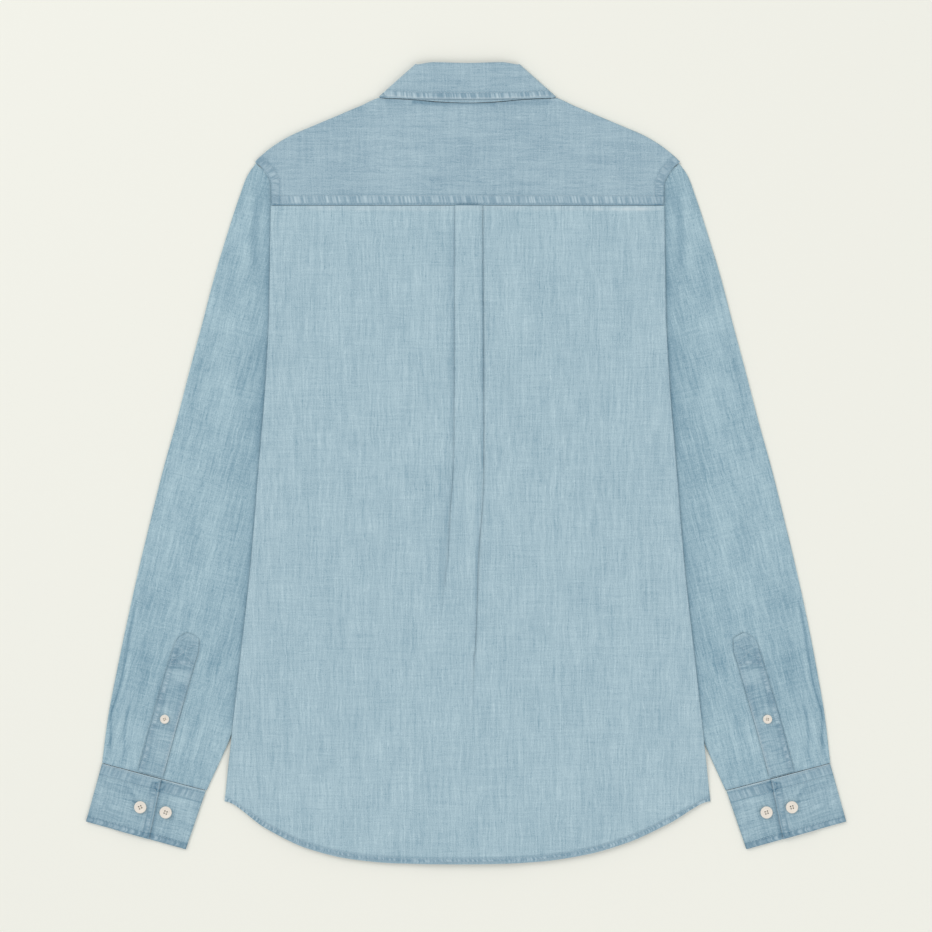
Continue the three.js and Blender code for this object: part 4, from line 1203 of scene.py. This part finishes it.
leaf = clothPiece("collar_leaf", leafGrid(), yokeCloth, leafLook)
finishCloth(leaf, "collar_leaf")
stand = clothPiece("collar_stand", standGrid(), yokeCloth, {"seed": 37, "grain": 90})
finishCloth(stand, "collar_stand")
print("collar")

buttonShape = {"sides": 48, "holeReach": 0.27, "holeRadius": 0.12, "threadRadius": 0.22}
# shares of the radius and of the height
buttonProfile = [(0, 0), (0.78, 0), (0.93, 0.12), (1, 0.38), (1, 0.68), (0.97, 0.86), (0.9, 0.98),
                 (0.83, 1.0), (0.74, 0.95), (0.64, 0.78), (0.52, 0.7), (0.3, 0.68), (0, 0.68)]


def buttonBody(radius, thick):
    sides = buttonShape["sides"]
    shape = bmesh.new()
    rings = []
    for r, z in buttonProfile:
        if r == 0:
            rings.append([shape.verts.new((0, 0, z * thick))])
            continue
        turns = [2 * math.pi * k / sides for k in range(sides)]
        rings.append([shape.verts.new((r * radius * math.cos(a), r * radius * math.sin(a), z * thick))
                      for a in turns])
    for lower, upper in zip(rings[:-1], rings[1:]):
        for k in range(sides):
            n = (k + 1) % sides
            corners = [lower[k % len(lower)], lower[n % len(lower)], upper[n % len(upper)],
                       upper[k % len(upper)]]
            shape.faces.new(list(dict.fromkeys(corners)))
    bmesh.ops.recalc_face_normals(shape, faces=shape.faces)
    disc = bpy.data.meshes.new("disc")
    shape.to_mesh(disc)
    shape.free()
    body = bpy.data.objects.new("disc", disc)
    bpy.context.scene.collection.objects.link(body)
    drill = bmesh.new()
    for k in range(4):
        angle = math.pi / 4 + k * math.pi / 2
        made = bmesh.ops.create_cone(drill, cap_ends=True, segments=20, depth=thick * 4,
                                     radius1=radius * buttonShape["holeRadius"],
                                     radius2=radius * buttonShape["holeRadius"])
        reach = radius * buttonShape["holeReach"]
        bmesh.ops.translate(drill, verts=made["verts"],
                            vec=(reach * math.cos(angle), reach * math.sin(angle), 0))
    drillMesh = bpy.data.meshes.new("drill")
    drill.to_mesh(drillMesh)
    drill.free()
    cutter = bpy.data.objects.new("drill", drillMesh)
    bpy.context.scene.collection.objects.link(cutter)
    cut = body.modifiers.new("holes", "BOOLEAN")
    cut.operation = "DIFFERENCE"
    cut.solver = "EXACT"
    cut.object = cutter
    bpy.context.view_layer.update()
    shown = body.evaluated_get(bpy.context.evaluated_depsgraph_get())
    result = bpy.data.meshes.new_from_object(shown)
    result.transform(((mm, 0, 0, 0), (0, mm, 0, 0), (0, 0, mm, 0), (0, 0, 0, 1)))
    bpy.data.objects.remove(body)
    bpy.data.objects.remove(cutter)
    result.materials.append(buttonMaterial)
    result.polygons.foreach_set("use_smooth", [True] * len(result.polygons))
    result.set_sharp_from_angle(angle=math.radians(38))
    return result


def tubeThrough(points, radius, sides=6):  # vertices and faces of a round strand with closed ends
    points = np.array(points, float)
    ways = np.gradient(points, axis=0)
    vertices, faces = [], []
    for point, way in zip(points, ways):
        way = way / np.linalg.norm(way)
        reference = np.array([0, 1, 0]) if abs(way[1]) < 0.8 else np.array([1, 0, 0])
        first = np.cross(way, reference)
        first /= np.linalg.norm(first)
        second = np.cross(way, first)
        for k in range(sides):
            angle = 2 * math.pi * k / sides
            vertices.append(point + radius * (math.cos(angle) * first + math.sin(angle) * second))
    for ring in range(len(points) - 1):
        for k in range(sides):
            n = (k + 1) % sides
            faces.append((ring * sides + k, ring * sides + n, (ring + 1) * sides + n,
                          (ring + 1) * sides + k))
    faces.append(tuple(range(sides)))
    faces.append(tuple(range((len(points) - 1) * sides, len(points) * sides)))
    return vertices, faces


def buttonThread(radius, thick):
    vertices, faces = [], []
    reach = radius * buttonShape["holeReach"] * math.cos(math.pi / 4)
    for x in (-reach, reach):
        for offset in (-0.16, 0.16):
            strand = []
            for k in range(9):
                t = -1 + k / 4
                height = thick * 0.68 + 0.32 * math.cos(t * math.pi / 2) - (0.9 if abs(t) == 1 else 0)
                strand.append((x + offset * 0.9, t * reach * 1.02, height))
            newVertices, newFaces = tubeThrough(strand, 0.17)
            start = len(vertices)
            vertices += newVertices
            faces += [tuple(i + start for i in face) for face in newFaces]
    return [tuple(v * mm) for v in vertices], faces


buttonNames = [f"{kind}_{side}" for kind in ("cuff_button", "cuff_spare_button", "placket_button")
               for side in ("left", "right")]
buttonNames += [f"front_button_{k}" for k in range(1, 8)] + ["neck_button"]
turns = np.random.default_rng(41)
for name in buttonNames:
    low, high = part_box(name)
    radius = (high.x - low.x) / 2 / mm
    thick = (high.z - low.z) / mm
    faceDown = name.startswith(("front", "neck"))
    disc = bpy.data.objects.new(f"{name}_disc", buttonBody(radius, thick))
    bpy.context.scene.collection.objects.link(disc)
    vertices, faces = buttonThread(radius, thick)
    strands = meshObject(f"{name}_thread", vertices, faces, buttonThreadMaterial)
    spin = turns.uniform(-0.5, 0.5)
    for part in (disc, strands):
        part.location = ((low.x + high.x) / 2, (low.y + high.y) / 2, high.z if faceDown else low.z)
        part.rotation_euler = (math.pi if faceDown else 0, 0, spin)
        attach(part, "root")
    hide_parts(name)
print("buttons")

stitch = {"length": 2.5, "gap": 0.8, "radius": 0.22, "shown": 0.5, "rayHeight": 0.1}


def surfaceUnder(piece):
    return BVHTree.FromObject(piece, bpy.context.evaluated_depsgraph_get())


def stitchRow(tree, line, side=1, leans=None):  # points of a row of stitches on a piece
    line = np.array(line, float)
    spans = np.hypot(*np.diff(line, axis=0).T)
    knots = np.concatenate([[0], np.cumsum(spans)])
    curve = lambda at: np.stack([np.interp(at, knots, line[:, 0]), np.interp(at, knots, line[:, 1])],
                                axis=-1)
    pitch = stitch["length"] + stitch["gap"]
    starts = np.arange(0.6, knots[-1] - stitch["length"], pitch)
    rows = []
    for start in starts:
        ends = curve(np.array([start, start + stitch["length"] / 2, start + stitch["length"]]))
        flat = placed(np.concatenate([ends, np.zeros((3, 1))], axis=1), side, leans)
        spots = []
        for x, y, _ in flat:
            hit = tree.ray_cast(Vector((x, y, stitch["rayHeight"])), Vector((0, 0, -1)))[0]
            if hit is None:
                break
            spots.append(np.array([x, y, hit.z + stitch["radius"] * stitch["shown"] * mm]))
        if len(spots) == 3:
            rows.append(spots)
    return rows


def stitchObject(name, rows):
    vertices, faces = [], []
    radius = stitch["radius"] * mm
    for spots in rows:
        spots = [spot.copy() for spot in spots]
        start = len(vertices)
        way = spots[2] - spots[0]
        way /= np.linalg.norm(way)
        sideways = np.cross(way, (0, 0, 1))
        sideways /= np.linalg.norm(sideways)
        up = np.cross(sideways, way)
        down = stitch["radius"] * 1.3 * mm
        vertices.append(spots[0] - up * down)
        for centre, share in ((mix(spots[0], spots[1], 0.45), 0.85), (spots[1], 1.0),
                              (mix(spots[1], spots[2], 0.55), 0.85)):
            for k in range(5):
                angle = 2 * math.pi * k / 5
                around = math.cos(angle) * sideways + math.sin(angle) * up
                vertices.append(centre + radius * share * around)
        vertices.append(spots[2] - up * down)
        for k in range(5):
            n = (k + 1) % 5
            faces.append((start, start + 1 + k, start + 1 + n))
            for ring in (1, 6):
                faces.append((start + ring + k, start + ring + 5 + k, start + ring + 5 + n,
                              start + ring + n))
            faces.append((start + 16, start + 11 + n, start + 11 + k))
    if not rows:
        return None
    made = meshObject(name, vertices, faces, threadMaterial)
    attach(made, "root")
    return made


def insideHem(depth):
    line = []
    for x in np.linspace(-236, 236, 120):
        line.append((x, hemY(x) + depth + 0.0006 * depth * abs(x)))
    return line


yokeTree = surfaceUnder(yoke)
backTree = surfaceUnder(back)
leafTree = surfaceUnder(leaf)
stitchObject("yoke_stitches", stitchRow(yokeTree, [(-192, 258.9), (192, 258.9)])
             + stitchRow(yokeTree, [(-192, 267.4), (192, 267.4)]))
armholeStitch = [(186.4, 259), (187, 280), (192, 292), (200, 300)]
stitchObject("armhole_stitches", stitchRow(yokeTree, armholeStitch) + stitchRow(yokeTree, armholeStitch,
                                                                                -1))
stitchObject("hem_stitches", stitchRow(backTree, insideHem(5.4)))
leafStitch = [(-84, 372.5), (-52, 370.3), (0, 369.8), (52, 370.3), (84, 372.5)]
stitchObject("collar_stitches", stitchRow(leafTree, leafStitch))
for side, name in ((1, "right"), (-1, "left")):
    cuffTree = surfaceUnder(pieces[f"cuff_{name}"])
    placketTree = surfaceUnder(pieces[f"placket_{name}"])
    rows = []
    for a, b in (((0.03, 0.035), (0.97, 0.035)), ((0.03, 0.19), (0.62, 0.19)), ((0.62, 0.19), (0.97, 0.19)),
                 ((0.03, 0.905), (0.62, 0.905)), ((0.66, 0.905), (0.97, 0.905)), ((0.545, 0.06),
                                                                                  (0.6, 0.9))):
        rows += stitchRow(cuffTree, cuffLine(a, b), side, "cuff")
    stitchObject(f"cuff_stitches_{name}", rows)
    rows = stitchRow(placketTree, [(x + 1.6, y - 0.5) for x, y in placketLeft[2:]], side, "cuff")
    rows += stitchRow(placketTree, [(x - 1.6, y - 0.5) for x, y in placketRight[2:]], side, "cuff")
    rows += stitchRow(placketTree, [(269, -178), (277, -171.5), (287, -178)], side, "cuff")
    rows += stitchRow(placketTree, [(272.5, -201), (296, -199.8)], side, "cuff")
    rows += stitchRow(placketTree, [(272.5, -199.5), (290, -179)], side, "cuff")
    rows += stitchRow(placketTree, [(270, -180), (295, -198)], side, "cuff")
    stitchObject(f"placket_stitches_{name}", rows)
print("stitches")

studio = {"floor": 8.0, "cameraHeight": 3.0, "picture": 0.932, "centre": (0.0005, -0.00275)}
floorMesh = bpy.data.meshes.new("floor")
reach = studio["floor"] / 2
floorMesh.from_pydata([(-reach, -reach, 0), (reach, -reach, 0), (reach, reach, 0), (-reach, reach, 0)], [],
                      [(0, 1, 2, 3)])
floorMesh.materials.append(floorMaterial)
floor = bpy.data.objects.new("floor", floorMesh)
floor.location.z = -0.0001
bpy.context.scene.collection.objects.link(floor)

for name in ("key", "fill"):
    lamp = bpy.data.lights.new(name, "AREA")
    lamp.shape = "SQUARE"
    lamp.size = lights[name]["size"]
    lamp.energy = lights[name]["power"]
    bulb = bpy.data.objects.new(name, lamp)
    bulb.location = lights[name]["place"]
    bulb.rotation_euler = (-Vector(bulb.location)).to_track_quat("-Z", "Y").to_euler()
    bpy.context.scene.collection.objects.link(bulb)

world = bpy.data.worlds.new("studio")
world.use_nodes = True
world.node_tree.nodes["Background"].inputs["Color"].default_value = (1, 1, 1, 1)
world.node_tree.nodes["Background"].inputs["Strength"].default_value = lights["sky"]
bpy.context.scene.world = world
bpy.context.scene.view_settings.view_transform = "Standard"

cameraData = bpy.data.cameras.new("above")
cameraData.sensor_width = 36.0
cameraData.lens = cameraData.sensor_width * studio["cameraHeight"] / studio["picture"]
cameraData.clip_end = 20
camera = bpy.data.objects.new("above", cameraData)
camera.location = (*studio["centre"], studio["cameraHeight"])
bpy.context.scene.collection.objects.link(camera)
bpy.context.scene.camera = camera
